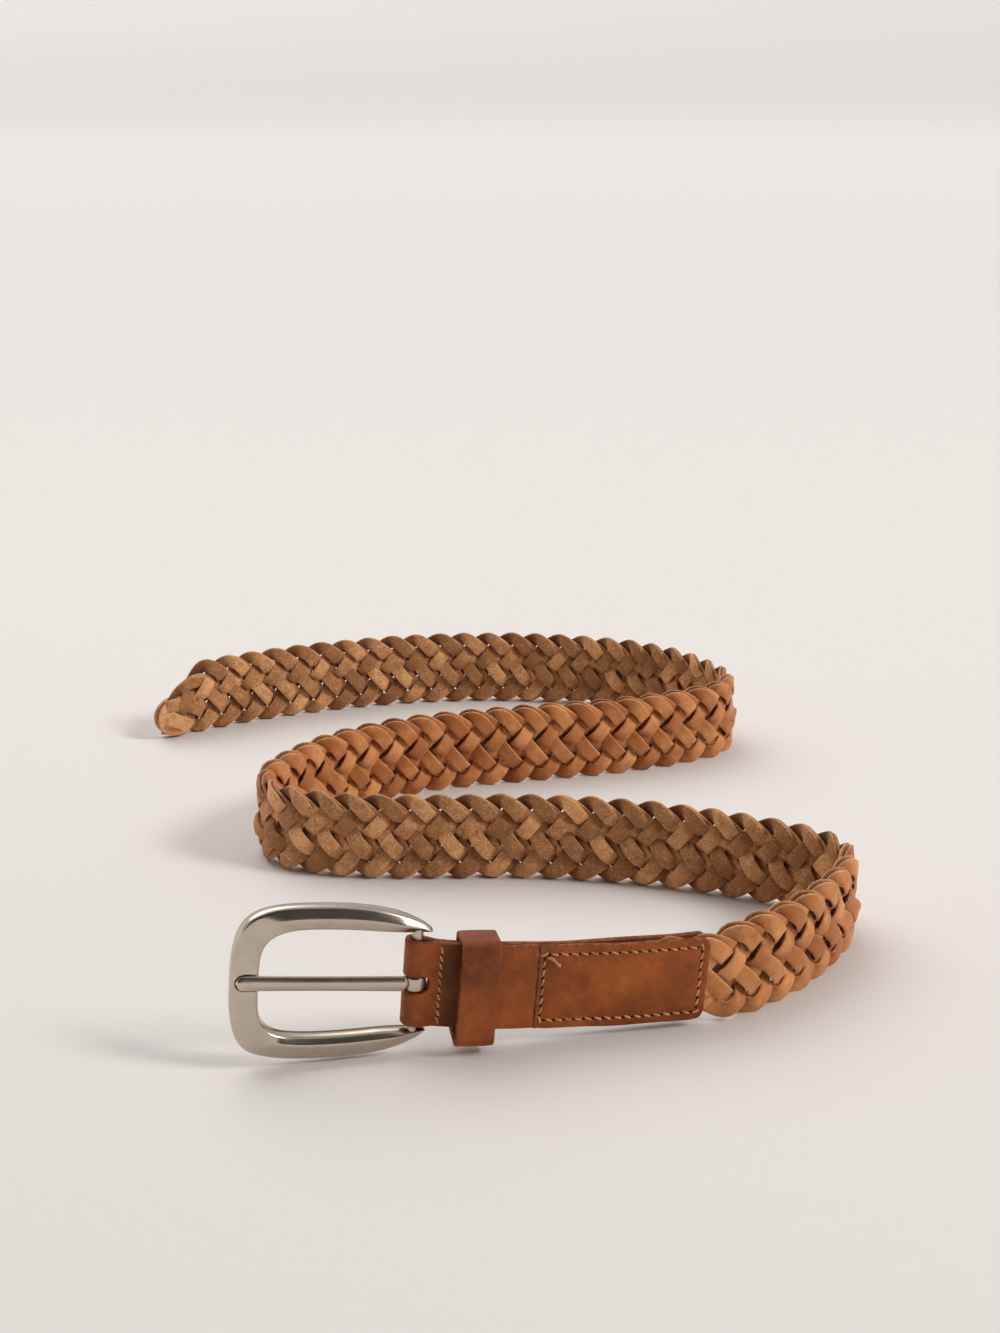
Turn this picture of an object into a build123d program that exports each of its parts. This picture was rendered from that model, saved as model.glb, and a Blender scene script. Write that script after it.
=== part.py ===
"""Braided leather belt standing on its edge in an S, with a nickel heel-bar buckle.

+Z is up and the belt rests on z = 0. The tab and the buckle lie along the near side, the tab
runs to the right into the braid, and the braid folds back and forth to its tip at the far left.
"""

from build123d import *
from math import asin, cos, pi, radians, sin
import os

os.makedirs("parts", exist_ok=True)

# ---- where the belt stands -------------------------------------------------------------------
BAR_X = -10.7            # middle of the buckle bar, measured from the middle of the whole belt
BAR_Y = -149.2
BAR_Z = 20.7
TAB_YAW = 12.0           # the tab turns this far away from the X axis
TAB_ROLL = 4.5           # and falls this far towards the braid, degrees

# ---- leather tab -----------------------------------------------------------------------------
TAB_WIDTH = 25.4
PLY = 1.8                # thickness of the tab leather
TAB_END = 84.0           # from the bar to the right end of the tab
PATCH_START = 34.5       # the front patch begins here
FLARE_END = 66.0         # the two plies are fully apart from here on, with the braid between
BRAID_GAP = 3.2          # room between the plies for the ends of the laces
CORNER = 2.5             # rounding of the right corners of the tab
SLOT_HEIGHT = 5.4        # opening for the prong, at the height of the prong's root
SLOT_END = 4.0           # how far the opening reaches past the bar
SEAM_A = 6.7             # bar seam, distance behind the bar
SEAM_HALF = 10.5         # half of the length of the bar seam
THREAD = 0.8             # width of a line of stitches
THREAD_RISE = 0.4        # how far the thread stands above the leather

# ---- keeper loop -----------------------------------------------------------------------------
KEEPER_A = 16.9          # middle of the keeper along the tab
KEEPER_WIDTH = 11.0
KEEPER_PLY = 1.7
KEEPER_OUT_HEIGHT = 31.6
KEEPER_OUT_DEPTH = 13.0
KEEPER_CORNER = 2.4
KEEPER_RISE = -1.2       # it hangs on the upper edge of the tab
KEEPER_FORWARD = 2.1     # it stands towards the front, where the free end goes through

# ---- buckle ----------------------------------------------------------------------------------
BAR_RADIUS = 1.6
BAR_FIT = 0.06           # running clearance around the bar
FRAME_RISE = 1.4         # the frame sits this much higher than the leather
FRAME_HALF_THICK = 2.4
FRAME_BEVEL = 0.9
BAR_HALF = 16.9          # half of the length of the bar, ends pressed into the arms
PRONG_HEIGHT = 4.2
PRONG_ROOT_HEIGHT = 4.4
PRONG_RISE = 0.9         # the root of the prong sits this much above the middle of the leather
PRONG_SLANT = 2.0        # and the shaft leans up towards its tip, degrees
PRONG_ROOT_ROUND = 1.0   # rounding of the eye's two rims
PRONG_RING = 3.16        # outer radius of the eye of the prong
PRONG_TIP = 49.8         # from the bar to the tip of the prong

# ---- braid -----------------------------------------------------------------------------------
LEADS = 5                # pairs of laces
WAVE = 51.0              # length of one full zigzag of a lead
LACE_WIDTH = 4.6
LACE_PLY = 1.5
BRAID_CENTRE_Z = 15.0
SWING = 12.3             # the middle of a lead swings this far above and below the centre
WEAVE = 1.55             # and this far in front of and behind it
PAIR_SPREAD = 1.6        # the two laces of a lead spread apart in the middle of a run
PAIR_EDGE = 0.3          # and come together at the edges
INSIDE_TAB = 17.0        # length of lace held between the plies
BRAID_LENGTH = 774.0     # from the tab to the tip
TAPER = 24.0             # the braid narrows over this length at the tip
STEPS_PER_WAVE = 15

# The route of the braid on the floor, from the tab to the tip: length in mm and turn in degrees
# (turning left is positive).
ROUTE = [
    (11, 22), (62, 33), (25, 75), (16, 11),      # out of the tab and round the near right bend
    (99, 29), (30, -3), (33, -22),               # long stretch back to the left
    (27, -85), (54, -40), (42, -18), (43, -1),   # left bend and the next stretch
    (52, 19), (28, 81), (62, 51),                # far right bend
    (87, 29), (106, 26),                         # last stretch to the tip
]

yaw = radians(TAB_YAW)
roll = radians(TAB_ROLL)
along = Vector(cos(yaw) * cos(roll), sin(yaw) * cos(roll), -sin(roll))
upward = Vector(cos(yaw) * sin(roll), sin(yaw) * sin(roll), cos(roll))
outward = Vector(sin(yaw), -cos(yaw), 0)
bar_middle = Vector(BAR_X, BAR_Y, BAR_Z)

face_plane = Plane(origin=bar_middle, x_dir=along, z_dir=outward)
side_plane = Plane(origin=bar_middle, x_dir=along, z_dir=-upward)
frame_middle = bar_middle + upward * FRAME_RISE
frame_plane = Plane(origin=frame_middle, x_dir=along, z_dir=outward)
frame_side = Plane(origin=frame_middle, x_dir=along, z_dir=-upward)


# ---- tab: one strip folded round the bar -------------------------------------------------------
inner = BAR_RADIUS + BAR_FIT
outer = inner + PLY
closed = 6.0             # the two legs meet here, just before the bar seam
half_gap = 0.05
half_braid = BRAID_GAP / 2

with BuildPart() as tab_strap:
    with BuildSketch(side_plane) as fold_profile:
        with BuildLine():
            ThreePointArc((0, -outer), (-outer, 0), (0, outer))
            Spline((0, outer), (closed, half_gap + PLY), tangents=[(1, 0), (1, 0)])
            Polyline((closed, half_gap + PLY), (PATCH_START - 0.1, half_gap + PLY),
                     (PATCH_START - 0.1, half_gap), (closed, half_gap))
            Spline((closed, half_gap), (0, inner), tangents=[(-1, 0), (-1, 0)])
            ThreePointArc((0, inner), (-inner, 0), (0, -inner))
            Spline((0, -inner), (closed, -half_gap), tangents=[(1, 0), (1, 0)])
            Polyline((closed, -half_gap), (PATCH_START, -half_gap), (FLARE_END, -half_braid),
                     (TAB_END, -half_braid), (TAB_END, -half_braid - PLY),
                     (FLARE_END, -half_braid - PLY), (PATCH_START, -half_gap - PLY),
                     (closed, -half_gap - PLY))
            Spline((closed, -half_gap - PLY), (0, -outer), tangents=[(-1, 0), (-1, 0)])
        make_face()
    extrude(amount=TAB_WIDTH / 2, both=True)
    with BuildSketch(face_plane.offset(-12)):
        with BuildLine():
            Polyline((-6, TAB_WIDTH / 2), (TAB_END - CORNER, TAB_WIDTH / 2))
            RadiusArc((TAB_END - CORNER, TAB_WIDTH / 2), (TAB_END, TAB_WIDTH / 2 - CORNER), CORNER)
            Line((TAB_END, TAB_WIDTH / 2 - CORNER), (TAB_END, CORNER - TAB_WIDTH / 2))
            RadiusArc((TAB_END, CORNER - TAB_WIDTH / 2), (TAB_END - CORNER, -TAB_WIDTH / 2), CORNER)
            Polyline((TAB_END - CORNER, -TAB_WIDTH / 2), (-6, -TAB_WIDTH / 2), (-6, TAB_WIDTH / 2))
        make_face()
    extrude(amount=24, mode=Mode.INTERSECT)
    with BuildSketch(face_plane.offset(-8)):
        with Locations((SLOT_END - 6, PRONG_RISE)):
            SlotOverall(12, SLOT_HEIGHT)
    extrude(amount=16, mode=Mode.SUBTRACT)
tab_strap.part.label = "tab_strap"
export_step(tab_strap.part, "parts/tab_strap.step")

with BuildPart() as front_patch:
    with BuildSketch(side_plane):
        with BuildLine():
            Polyline((PATCH_START, half_gap + 0.1), (FLARE_END, half_braid), (TAB_END, half_braid),
                     (TAB_END, half_braid + PLY), (FLARE_END, half_braid + PLY),
                     (PATCH_START, half_gap + 0.1 + PLY), close=True)
        make_face()
    extrude(amount=TAB_WIDTH / 2, both=True)
    with BuildSketch(face_plane.offset(-12)):
        with BuildLine():
            Polyline((-6, TAB_WIDTH / 2), (TAB_END - CORNER, TAB_WIDTH / 2))
            RadiusArc((TAB_END - CORNER, TAB_WIDTH / 2), (TAB_END, TAB_WIDTH / 2 - CORNER), CORNER)
            Line((TAB_END, TAB_WIDTH / 2 - CORNER), (TAB_END, CORNER - TAB_WIDTH / 2))
            RadiusArc((TAB_END, CORNER - TAB_WIDTH / 2), (TAB_END - CORNER, -TAB_WIDTH / 2), CORNER)
            Polyline((TAB_END - CORNER, -TAB_WIDTH / 2), (-6, -TAB_WIDTH / 2), (-6, TAB_WIDTH / 2))
        make_face()
    extrude(amount=24, mode=Mode.INTERSECT)
front_patch.part.label = "front_patch"
export_step(front_patch.part, "parts/front_patch.step")

# ---- seams -------------------------------------------------------------------------------------
with BuildPart() as bar_seam_thread:
    with BuildSketch(face_plane.offset(half_gap + PLY)):
        with Locations((SEAM_A, 0)):
            Rectangle(THREAD, 2 * SEAM_HALF)
    extrude(amount=THREAD_RISE)
bar_seam_thread.part.label = "bar_seam_thread"
export_step(bar_seam_thread.part, "parts/bar_seam_thread.step")

PATCH_SEAM_LEFT = 35.4
PATCH_SEAM_RIGHT = TAB_END - 2.3
PATCH_SEAM_HALF = 10.4
patch_top = half_gap + 0.1 + PLY
flare_slope = (half_braid + PLY - patch_top) / (FLARE_END - PATCH_START)
seam_left_top = patch_top + (PATCH_SEAM_LEFT - PATCH_START) * flare_slope

with BuildPart() as patch_seam_thread:
    with BuildSketch(side_plane):
        with BuildLine():
            Polyline((PATCH_SEAM_LEFT, seam_left_top), (FLARE_END, half_braid + PLY),
                     (PATCH_SEAM_RIGHT, half_braid + PLY),
                     (PATCH_SEAM_RIGHT, half_braid + PLY + THREAD_RISE),
                     (FLARE_END, half_braid + PLY + THREAD_RISE),
                     (PATCH_SEAM_LEFT, seam_left_top + THREAD_RISE), close=True)
        make_face()
    extrude(amount=PATCH_SEAM_HALF, both=True)
    with BuildSketch(face_plane):
        with Locations(((PATCH_SEAM_LEFT + PATCH_SEAM_RIGHT) / 2, 0)):
            Rectangle(PATCH_SEAM_RIGHT - PATCH_SEAM_LEFT - 2 * THREAD, 2 * PATCH_SEAM_HALF - 2 * THREAD)
    extrude(amount=12, mode=Mode.SUBTRACT)
patch_seam_thread.part.label = "patch_seam_thread"
export_step(patch_seam_thread.part, "parts/patch_seam_thread.step")

with BuildPart() as thread_tail:
    with BuildSketch(face_plane.offset(2.3)):
        with Locations(Location((39.6, 8.3), 28)):
            SlotOverall(3.6, 0.9)
    extrude(amount=0.7)
thread_tail.part.label = "thread_tail"
export_step(thread_tail.part, "parts/thread_tail.step")

# ---- keeper: a leather band with its ends butted at the back, held by a staple ------------------
keeper_plane = Plane(origin=bar_middle + along * (KEEPER_A + KEEPER_WIDTH / 2),
                     x_dir=outward, z_dir=-along)
keeper_n = KEEPER_FORWARD

with BuildPart() as keeper_band:
    with BuildSketch(keeper_plane):
        with Locations((keeper_n, KEEPER_RISE)):
            RectangleRounded(KEEPER_OUT_DEPTH, KEEPER_OUT_HEIGHT, KEEPER_CORNER)
            RectangleRounded(KEEPER_OUT_DEPTH - 2 * KEEPER_PLY, KEEPER_OUT_HEIGHT - 2 * KEEPER_PLY,
                             KEEPER_CORNER - KEEPER_PLY, mode=Mode.SUBTRACT)
        with Locations((keeper_n - KEEPER_OUT_DEPTH / 2 + KEEPER_PLY / 2, KEEPER_RISE)):
            Rectangle(KEEPER_PLY + 1, 0.3, mode=Mode.SUBTRACT)
    extrude(amount=KEEPER_WIDTH)
keeper_band.part.label = "keeper_band"
export_step(keeper_band.part, "parts/keeper_band.step")

keeper_back = keeper_n - KEEPER_OUT_DEPTH / 2
with BuildPart() as keeper_staple:
    with BuildSketch(keeper_plane.offset(KEEPER_WIDTH / 2 - 0.5)):
        with Locations((keeper_back - 0.35, KEEPER_RISE)):
            Rectangle(0.7, 7)
    extrude(amount=1.0)
keeper_staple.part.label = "keeper_staple"
export_step(keeper_staple.part, "parts/keeper_staple.step")

# ---- buckle frame --------------------------------------------------------------------------------
OUTLINE = [(3.9, 15.4), (1.0, 17.5), (-4, 19.7), (-9, 21.2), (-14, 22.1), (-20, 22.7), (-27, 22.9),
           (-34, 22.8), (-39.5, 22.2), (-43.5, 21.1), (-46.4, 19.4), (-48.6, 16.6), (-50.0, 13),
           (-50.8, 8.5), (-51.1, 4), (-51.1, 0)]
WINDOW = [(3.4, 14.6), (-3, 14.6), (-9, 14.8), (-14, 15.2), (-20, 15.6), (-27, 15.8), (-33, 15.6),
          (-37, 15), (-40, 13.6), (-42, 11.2), (-43, 8), (-43.3, 4), (-43.3, 0)]
outline = OUTLINE + [(a, -b) for a, b in reversed(OUTLINE[:-1])]
window = WINDOW + [(a, -b) for a, b in reversed(WINDOW[:-1])]


def moved(points, amount):
    """The same row of points, each moved sideways by amount; the ends move half as far."""
    result = []
    for k, (a, b) in enumerate(points):
        a0, b0 = points[max(k - 1, 0)]
        a1, b1 = points[min(k + 1, len(points) - 1)]
        run = ((a1 - a0) ** 2 + (b1 - b0) ** 2) ** 0.5
        size = amount * (0.25 if k in (0, len(points) - 1) else 1)
        result.append((a - size * (b1 - b0) / run, b + size * (a1 - a0) / run))
    return result


outline_top = moved(outline, FRAME_BEVEL * 1.3)
window_top = moved(window, -FRAME_BEVEL * 0.9)

with BuildPart() as buckle_frame:
    with BuildSketch(frame_plane.offset(-FRAME_HALF_THICK)):
        with BuildLine():
            Spline(*outline)
            Line(outline[-1], window[-1])
            Spline(*reversed(window))
            Line(window[0], outline[0])
        make_face()
    extrude(amount=2 * FRAME_HALF_THICK - FRAME_BEVEL)
    with BuildSketch(frame_plane.offset(FRAME_HALF_THICK - FRAME_BEVEL)):
        with BuildLine():
            Spline(*outline)
            Line(outline[-1], window[-1])
            Spline(*reversed(window))
            Line(window[0], outline[0])
        make_face()
    with BuildSketch(frame_plane.offset(FRAME_HALF_THICK)):
        with BuildLine():
            Spline(*outline_top)
            Line(outline_top[-1], window_top[-1])
            Spline(*reversed(window_top))
            Line(window_top[0], outline_top[0])
        make_face()
    loft()
    with BuildSketch(frame_side):
        Circle(BAR_RADIUS)
    extrude(amount=BAR_HALF, both=True, mode=Mode.SUBTRACT)
    with BuildSketch(frame_plane.offset(1.15)):
        with Locations((-43.8, PRONG_RISE + 1.6 - FRAME_RISE)):
            SlotOverall(18, 5.0)
    extrude(amount=4, mode=Mode.SUBTRACT)
buckle_frame.part.label = "buckle_frame"
export_step(buckle_frame.part, "parts/buckle_frame.step")

with BuildPart() as buckle_bar:
    with BuildSketch(frame_side):
        Circle(BAR_RADIUS)
    extrude(amount=BAR_HALF, both=True)
buckle_bar.part.label = "buckle_bar"
export_step(buckle_bar.part, "parts/buckle_bar.step")

# ---- prong ---------------------------------------------------------------------------------------
slant = radians(PRONG_SLANT)
prong_along = along * cos(slant) - upward * sin(slant)
prong_up = upward * cos(slant) + along * sin(slant)
prong_plane = Plane(origin=bar_middle + upward * PRONG_RISE, x_dir=prong_along, z_dir=-prong_up)

with BuildPart() as prong:
    with BuildSketch(side_plane.offset(-PRONG_RISE)):
        Circle(PRONG_RING)
    extrude(amount=PRONG_ROOT_HEIGHT / 2, both=True)
    fillet(prong.edges().filter_by(GeomType.CIRCLE), PRONG_ROOT_ROUND)
    with BuildSketch(prong_plane):
        with BuildLine():
            Polyline((-1.5, 2.76), (-PRONG_TIP + 1.4, 3.5), (-PRONG_TIP, 2.6),
                     (-PRONG_TIP, 1.9), (-PRONG_TIP + 0.8, 1.2), (-6, 0.9), (-1, 0.4), close=True)
        make_face()
    extrude(amount=PRONG_HEIGHT / 2, both=True)
    with BuildSketch(side_plane):
        Circle(BAR_RADIUS + BAR_FIT)
    extrude(amount=PRONG_ROOT_HEIGHT, both=True, mode=Mode.SUBTRACT)
prong.part.label = "prong"
export_step(prong.part, "parts/prong.step")


# ---- braid ---------------------------------------------------------------------------------------
tab_end_point = bar_middle + along * TAB_END


def route_at(u):
    """Point on the floor and heading of the belt at distance u from the tab."""
    x, y, heading = tab_end_point.X, tab_end_point.Y, yaw
    if u < 0:
        return x + u * cos(yaw) * cos(roll), y + u * sin(yaw) * cos(roll), heading
    for length, turn in ROUTE:
        step = min(u, length)
        bend = radians(turn) / length
        swept = bend * step
        if abs(bend) < 1e-6:
            x += step * cos(heading)
            y += step * sin(heading)
        else:
            x += (sin(heading + swept) - sin(heading)) / bend
            y -= (cos(heading + swept) - cos(heading)) / bend
        heading += swept
        u -= step
        if u <= 0:
            break
    return x, y, heading


def ease(t):
    """Smooth change from 0 to 1."""
    t = min(max(t, 0), 1)
    return t * t * (3 - 2 * t)


def half_swing(u):
    """How far a lead swings up and down at distance u."""
    return SWING - 2.0 * (1 - ease((u + 2) / 16)) - 7.0 * ease((u - BRAID_LENGTH + TAPER) / TAPER)


def centre_height(u):
    """Height of the middle of the braid at distance u."""
    falling = tab_end_point.Z - min(u, 18) * sin(roll)
    lift = ease((u + 2) / 20)
    tip = 4.6 * ease((u - BRAID_LENGTH + TAPER) / TAPER)
    return falling * (1 - lift) + BRAID_CENTRE_Z * lift - tip


def zigzag(phase):
    """Rounded zigzag: 1 at the top edge, -1 at the bottom edge."""
    return asin(0.86 * cos(2 * pi * phase)) / asin(0.86)


def over_under(phase):
    """1 in front of the crossing lead, -1 behind it, four crossings in each half of the zigzag."""
    phase = phase % 1.0
    if phase < 0.1:
        count = 7.5 + 5 * phase
    elif phase <= 0.4:
        count = 10 * phase - 1
    elif phase < 0.6:
        count = 1 + 5 * phase
    elif phase <= 0.9:
        count = 10 * phase - 2
    else:
        count = 2.5 + 5 * phase
    return -cos(pi * count)


def lace_point(u, lead, side):
    """Middle of a lace, flat between the plies; side is 1 for the lace nearer to the suede face and -1 for the other."""
    phase = u / WAVE + lead / LEADS
    swing = zigzag(phase)
    spread = PAIR_EDGE + PAIR_SPREAD * (1 - abs(swing) ** 3)
    x, y, heading = route_at(u)
    w = WEAVE * over_under(phase) + side * LACE_PLY / 2 * 1.04
    z = centre_height(u) + half_swing(u) * swing + side * spread
    return Vector(x - w * sin(heading), y + w * cos(heading), z)


def lace_plane(u, lead, side):
    """Plane across a lace, with the width along its first direction."""
    before = lace_point(u - 0.4, lead, side)
    after = lace_point(u + 0.4, lead, side)
    run = (after - before).normalized()
    heading = route_at(u)[2]
    belt_normal = Vector(-sin(heading), cos(heading), 0)
    return Plane(origin=lace_point(u, lead, side), x_dir=belt_normal.cross(run), z_dir=run)


spacing = WAVE / STEPS_PER_WAVE
sections = int((INSIDE_TAB + BRAID_LENGTH) / spacing)
stations = [-INSIDE_TAB + (INSIDE_TAB + BRAID_LENGTH) * k / sections for k in range(sections + 1)]

with BuildPart() as lace_01:
    for u in stations:
        with BuildSketch(lace_plane(u, 0, 1)):
            Rectangle(LACE_WIDTH, LACE_PLY)
    loft(ruled=True)
lace_01.part.label = "lace_01"
export_step(lace_01.part, "parts/lace_01.step")

with BuildPart() as lace_02:
    for u in stations:
        with BuildSketch(lace_plane(u, 0, -1)):
            Rectangle(LACE_WIDTH, LACE_PLY)
    loft(ruled=True)
lace_02.part.label = "lace_02"
export_step(lace_02.part, "parts/lace_02.step")

with BuildPart() as lace_03:
    for u in stations:
        with BuildSketch(lace_plane(u, 1, 1)):
            Rectangle(LACE_WIDTH, LACE_PLY)
    loft(ruled=True)
lace_03.part.label = "lace_03"
export_step(lace_03.part, "parts/lace_03.step")

with BuildPart() as lace_04:
    for u in stations:
        with BuildSketch(lace_plane(u, 1, -1)):
            Rectangle(LACE_WIDTH, LACE_PLY)
    loft(ruled=True)
lace_04.part.label = "lace_04"
export_step(lace_04.part, "parts/lace_04.step")

with BuildPart() as lace_05:
    for u in stations:
        with BuildSketch(lace_plane(u, 2, 1)):
            Rectangle(LACE_WIDTH, LACE_PLY)
    loft(ruled=True)
lace_05.part.label = "lace_05"
export_step(lace_05.part, "parts/lace_05.step")

with BuildPart() as lace_06:
    for u in stations:
        with BuildSketch(lace_plane(u, 2, -1)):
            Rectangle(LACE_WIDTH, LACE_PLY)
    loft(ruled=True)
lace_06.part.label = "lace_06"
export_step(lace_06.part, "parts/lace_06.step")

with BuildPart() as lace_07:
    for u in stations:
        with BuildSketch(lace_plane(u, 3, 1)):
            Rectangle(LACE_WIDTH, LACE_PLY)
    loft(ruled=True)
lace_07.part.label = "lace_07"
export_step(lace_07.part, "parts/lace_07.step")

with BuildPart() as lace_08:
    for u in stations:
        with BuildSketch(lace_plane(u, 3, -1)):
            Rectangle(LACE_WIDTH, LACE_PLY)
    loft(ruled=True)
lace_08.part.label = "lace_08"
export_step(lace_08.part, "parts/lace_08.step")

with BuildPart() as lace_09:
    for u in stations:
        with BuildSketch(lace_plane(u, 4, 1)):
            Rectangle(LACE_WIDTH, LACE_PLY)
    loft(ruled=True)
lace_09.part.label = "lace_09"
export_step(lace_09.part, "parts/lace_09.step")

with BuildPart() as lace_10:
    for u in stations:
        with BuildSketch(lace_plane(u, 4, -1)):
            Rectangle(LACE_WIDTH, LACE_PLY)
    loft(ruled=True)
lace_10.part.label = "lace_10"
export_step(lace_10.part, "parts/lace_10.step")

# ---- tip: one lace wound round the ends of all the others ----------------------------------------
tip_x, tip_y, tip_heading = route_at(BRAID_LENGTH + 0.6)
tip_middle = Vector(tip_x, tip_y, centre_height(BRAID_LENGTH))
tip_run = Vector(cos(tip_heading), sin(tip_heading), 0)
tip_plane = Plane(origin=tip_middle, x_dir=Vector(-sin(tip_heading), cos(tip_heading), 0), z_dir=-tip_run)
TIP_HEIGHT = 2 * (half_swing(BRAID_LENGTH) + LACE_WIDTH / 2 + PAIR_EDGE) + 0.6
TIP_DEPTH = 2 * (WEAVE + LACE_PLY) + 0.5

with BuildPart() as tip_wrap:
    with BuildSketch(tip_plane):
        RectangleRounded(TIP_DEPTH + 2.2, TIP_HEIGHT + 2.2, 3.4)
        RectangleRounded(TIP_DEPTH, TIP_HEIGHT, 2.3, mode=Mode.SUBTRACT)
    extrude(amount=5)
tip_wrap.part.label = "tip_wrap"
export_step(tip_wrap.part, "parts/tip_wrap.step")
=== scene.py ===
"""Looks of a braided leather belt that stands on its edge in an S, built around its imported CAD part.

The braid, the leather tab, the keeper, the buckle and its prong are rebuilt as detailed meshes in the
place of their CAD solids, and every finish is made of shader nodes. Sizes are in millimetres and are
turned into metres where a mesh is made.
"""

import logging
from dataclasses import dataclass, field
from enum import Enum
from math import asin, cos, exp, hypot, pi, radians, sin, sqrt
from typing import Any, Callable, Sequence

import bmesh
import bpy
from mathutils import Euler, Matrix, Vector, noise


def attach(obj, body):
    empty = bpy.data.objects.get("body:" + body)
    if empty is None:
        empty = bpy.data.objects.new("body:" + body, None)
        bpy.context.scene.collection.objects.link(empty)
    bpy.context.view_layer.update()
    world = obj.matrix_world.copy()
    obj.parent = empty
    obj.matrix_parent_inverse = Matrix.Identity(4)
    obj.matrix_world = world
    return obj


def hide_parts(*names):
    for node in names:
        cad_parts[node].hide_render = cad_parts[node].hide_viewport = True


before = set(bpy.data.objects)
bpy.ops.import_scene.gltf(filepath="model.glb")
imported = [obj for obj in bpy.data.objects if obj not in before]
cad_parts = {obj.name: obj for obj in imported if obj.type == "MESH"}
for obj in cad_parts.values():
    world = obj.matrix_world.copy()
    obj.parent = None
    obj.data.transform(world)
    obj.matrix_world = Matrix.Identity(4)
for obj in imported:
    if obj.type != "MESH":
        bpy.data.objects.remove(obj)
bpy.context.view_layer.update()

MM = 0.001
log = logging.getLogger("belt")

Point2 = tuple[float, float]
Colour = tuple[float, float, float]


# ---- node trees ---------------------------------------------------------------------------------


class Num:
    """A number that lives in a node tree: Python arithmetic on it adds Math nodes."""

    def __init__(self, tree: "Tree", socket: bpy.types.NodeSocket) -> None:
        """Wraps an output socket of a tree."""
        self.tree = tree
        self.socket = socket

    def __add__(self, other: Any) -> "Num":
        """self + other."""
        return self.tree.math("ADD", self, other)

    def __radd__(self, other: Any) -> "Num":
        """other + self."""
        return self.tree.math("ADD", other, self)

    def __sub__(self, other: Any) -> "Num":
        """self - other."""
        return self.tree.math("SUBTRACT", self, other)

    def __rsub__(self, other: Any) -> "Num":
        """other - self."""
        return self.tree.math("SUBTRACT", other, self)

    def __mul__(self, other: Any) -> "Num":
        """self * other."""
        return self.tree.math("MULTIPLY", self, other)

    def __rmul__(self, other: Any) -> "Num":
        """other * self."""
        return self.tree.math("MULTIPLY", other, self)

    def __truediv__(self, other: Any) -> "Num":
        """self / other."""
        return self.tree.math("DIVIDE", self, other)


class Tree:
    """Makes and joins the nodes of one shader or geometry tree."""

    def __init__(self, group: bpy.types.NodeTree) -> None:
        """Takes an empty node tree."""
        self.group = group

    def node(self, kind: str, settings: dict[str, Any] | None = None, **values: Any) -> bpy.types.Node:
        """Adds a node.

        Args:
            kind: the node's type name.
            settings: properties of the node, set first.
            values: values or links of its inputs, by socket name with _ for a space, or by
                i and a number for an input picked by its place.

        Returns:
            The new node.
        """
        made = self.group.nodes.new(kind)
        for name, value in (settings or {}).items():
            setattr(made, name, value)
        for name, value in values.items():
            socket = self._input(made, name)
            if isinstance(value, Num):
                self.group.links.new(value.socket, socket)
            elif isinstance(value, bpy.types.NodeSocket):
                self.group.links.new(value, socket)
            else:
                socket.default_value = value
        return made

    def out(self, kind: str, settings: dict[str, Any] | None = None,
            **values: Any) -> bpy.types.NodeSocket:
        """First output of a new node; the arguments are those of node()."""
        return self.node(kind, settings, **values).outputs[0]

    def close(self, geometry: bpy.types.NodeSocket, material: bpy.types.NodeSocket) -> None:
        """Ends a geometry tree: instances made real, the material set, the output joined."""
        real = self.out("GeometryNodeRealizeInstances", Geometry=geometry)
        done = self.out("GeometryNodeSetMaterial", Geometry=real, Material=material)
        self.group.links.new(done, self.node("NodeGroupOutput").inputs[0])

    @staticmethod
    def _input(node: bpy.types.Node, name: str) -> bpy.types.NodeSocket:
        """The input that a keyword of node() means."""
        if name[0] == "i" and name[1:].isdigit():
            return node.inputs[int(name[1:])]
        wanted = name.replace("_", " ")
        for socket in node.inputs:
            if socket.name == wanted and socket.enabled:
                return socket
        raise KeyError(f"{node.bl_idname} has no input {wanted}")

    def math(self, operation: str, *values: Any) -> Num:
        """A Math node: operation on up to three numbers."""
        return Num(self, self.out("ShaderNodeMath", {"operation": operation},
                                  **{f"i{k}": v for k, v in enumerate(values)}))

    def ramp(self, value: Any, low: float, high: float, out_low: float = 0.0,
             out_high: float = 1.0, smooth: bool = True) -> Num:
        """Maps value from low..high to out_low..out_high, clamped."""
        way = {"interpolation_type": "SMOOTHSTEP" if smooth else "LINEAR"}
        return Num(self, self.out("ShaderNodeMapRange", way, i0=value, i1=low, i2=high, i3=out_low,
                                  i4=out_high))


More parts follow.
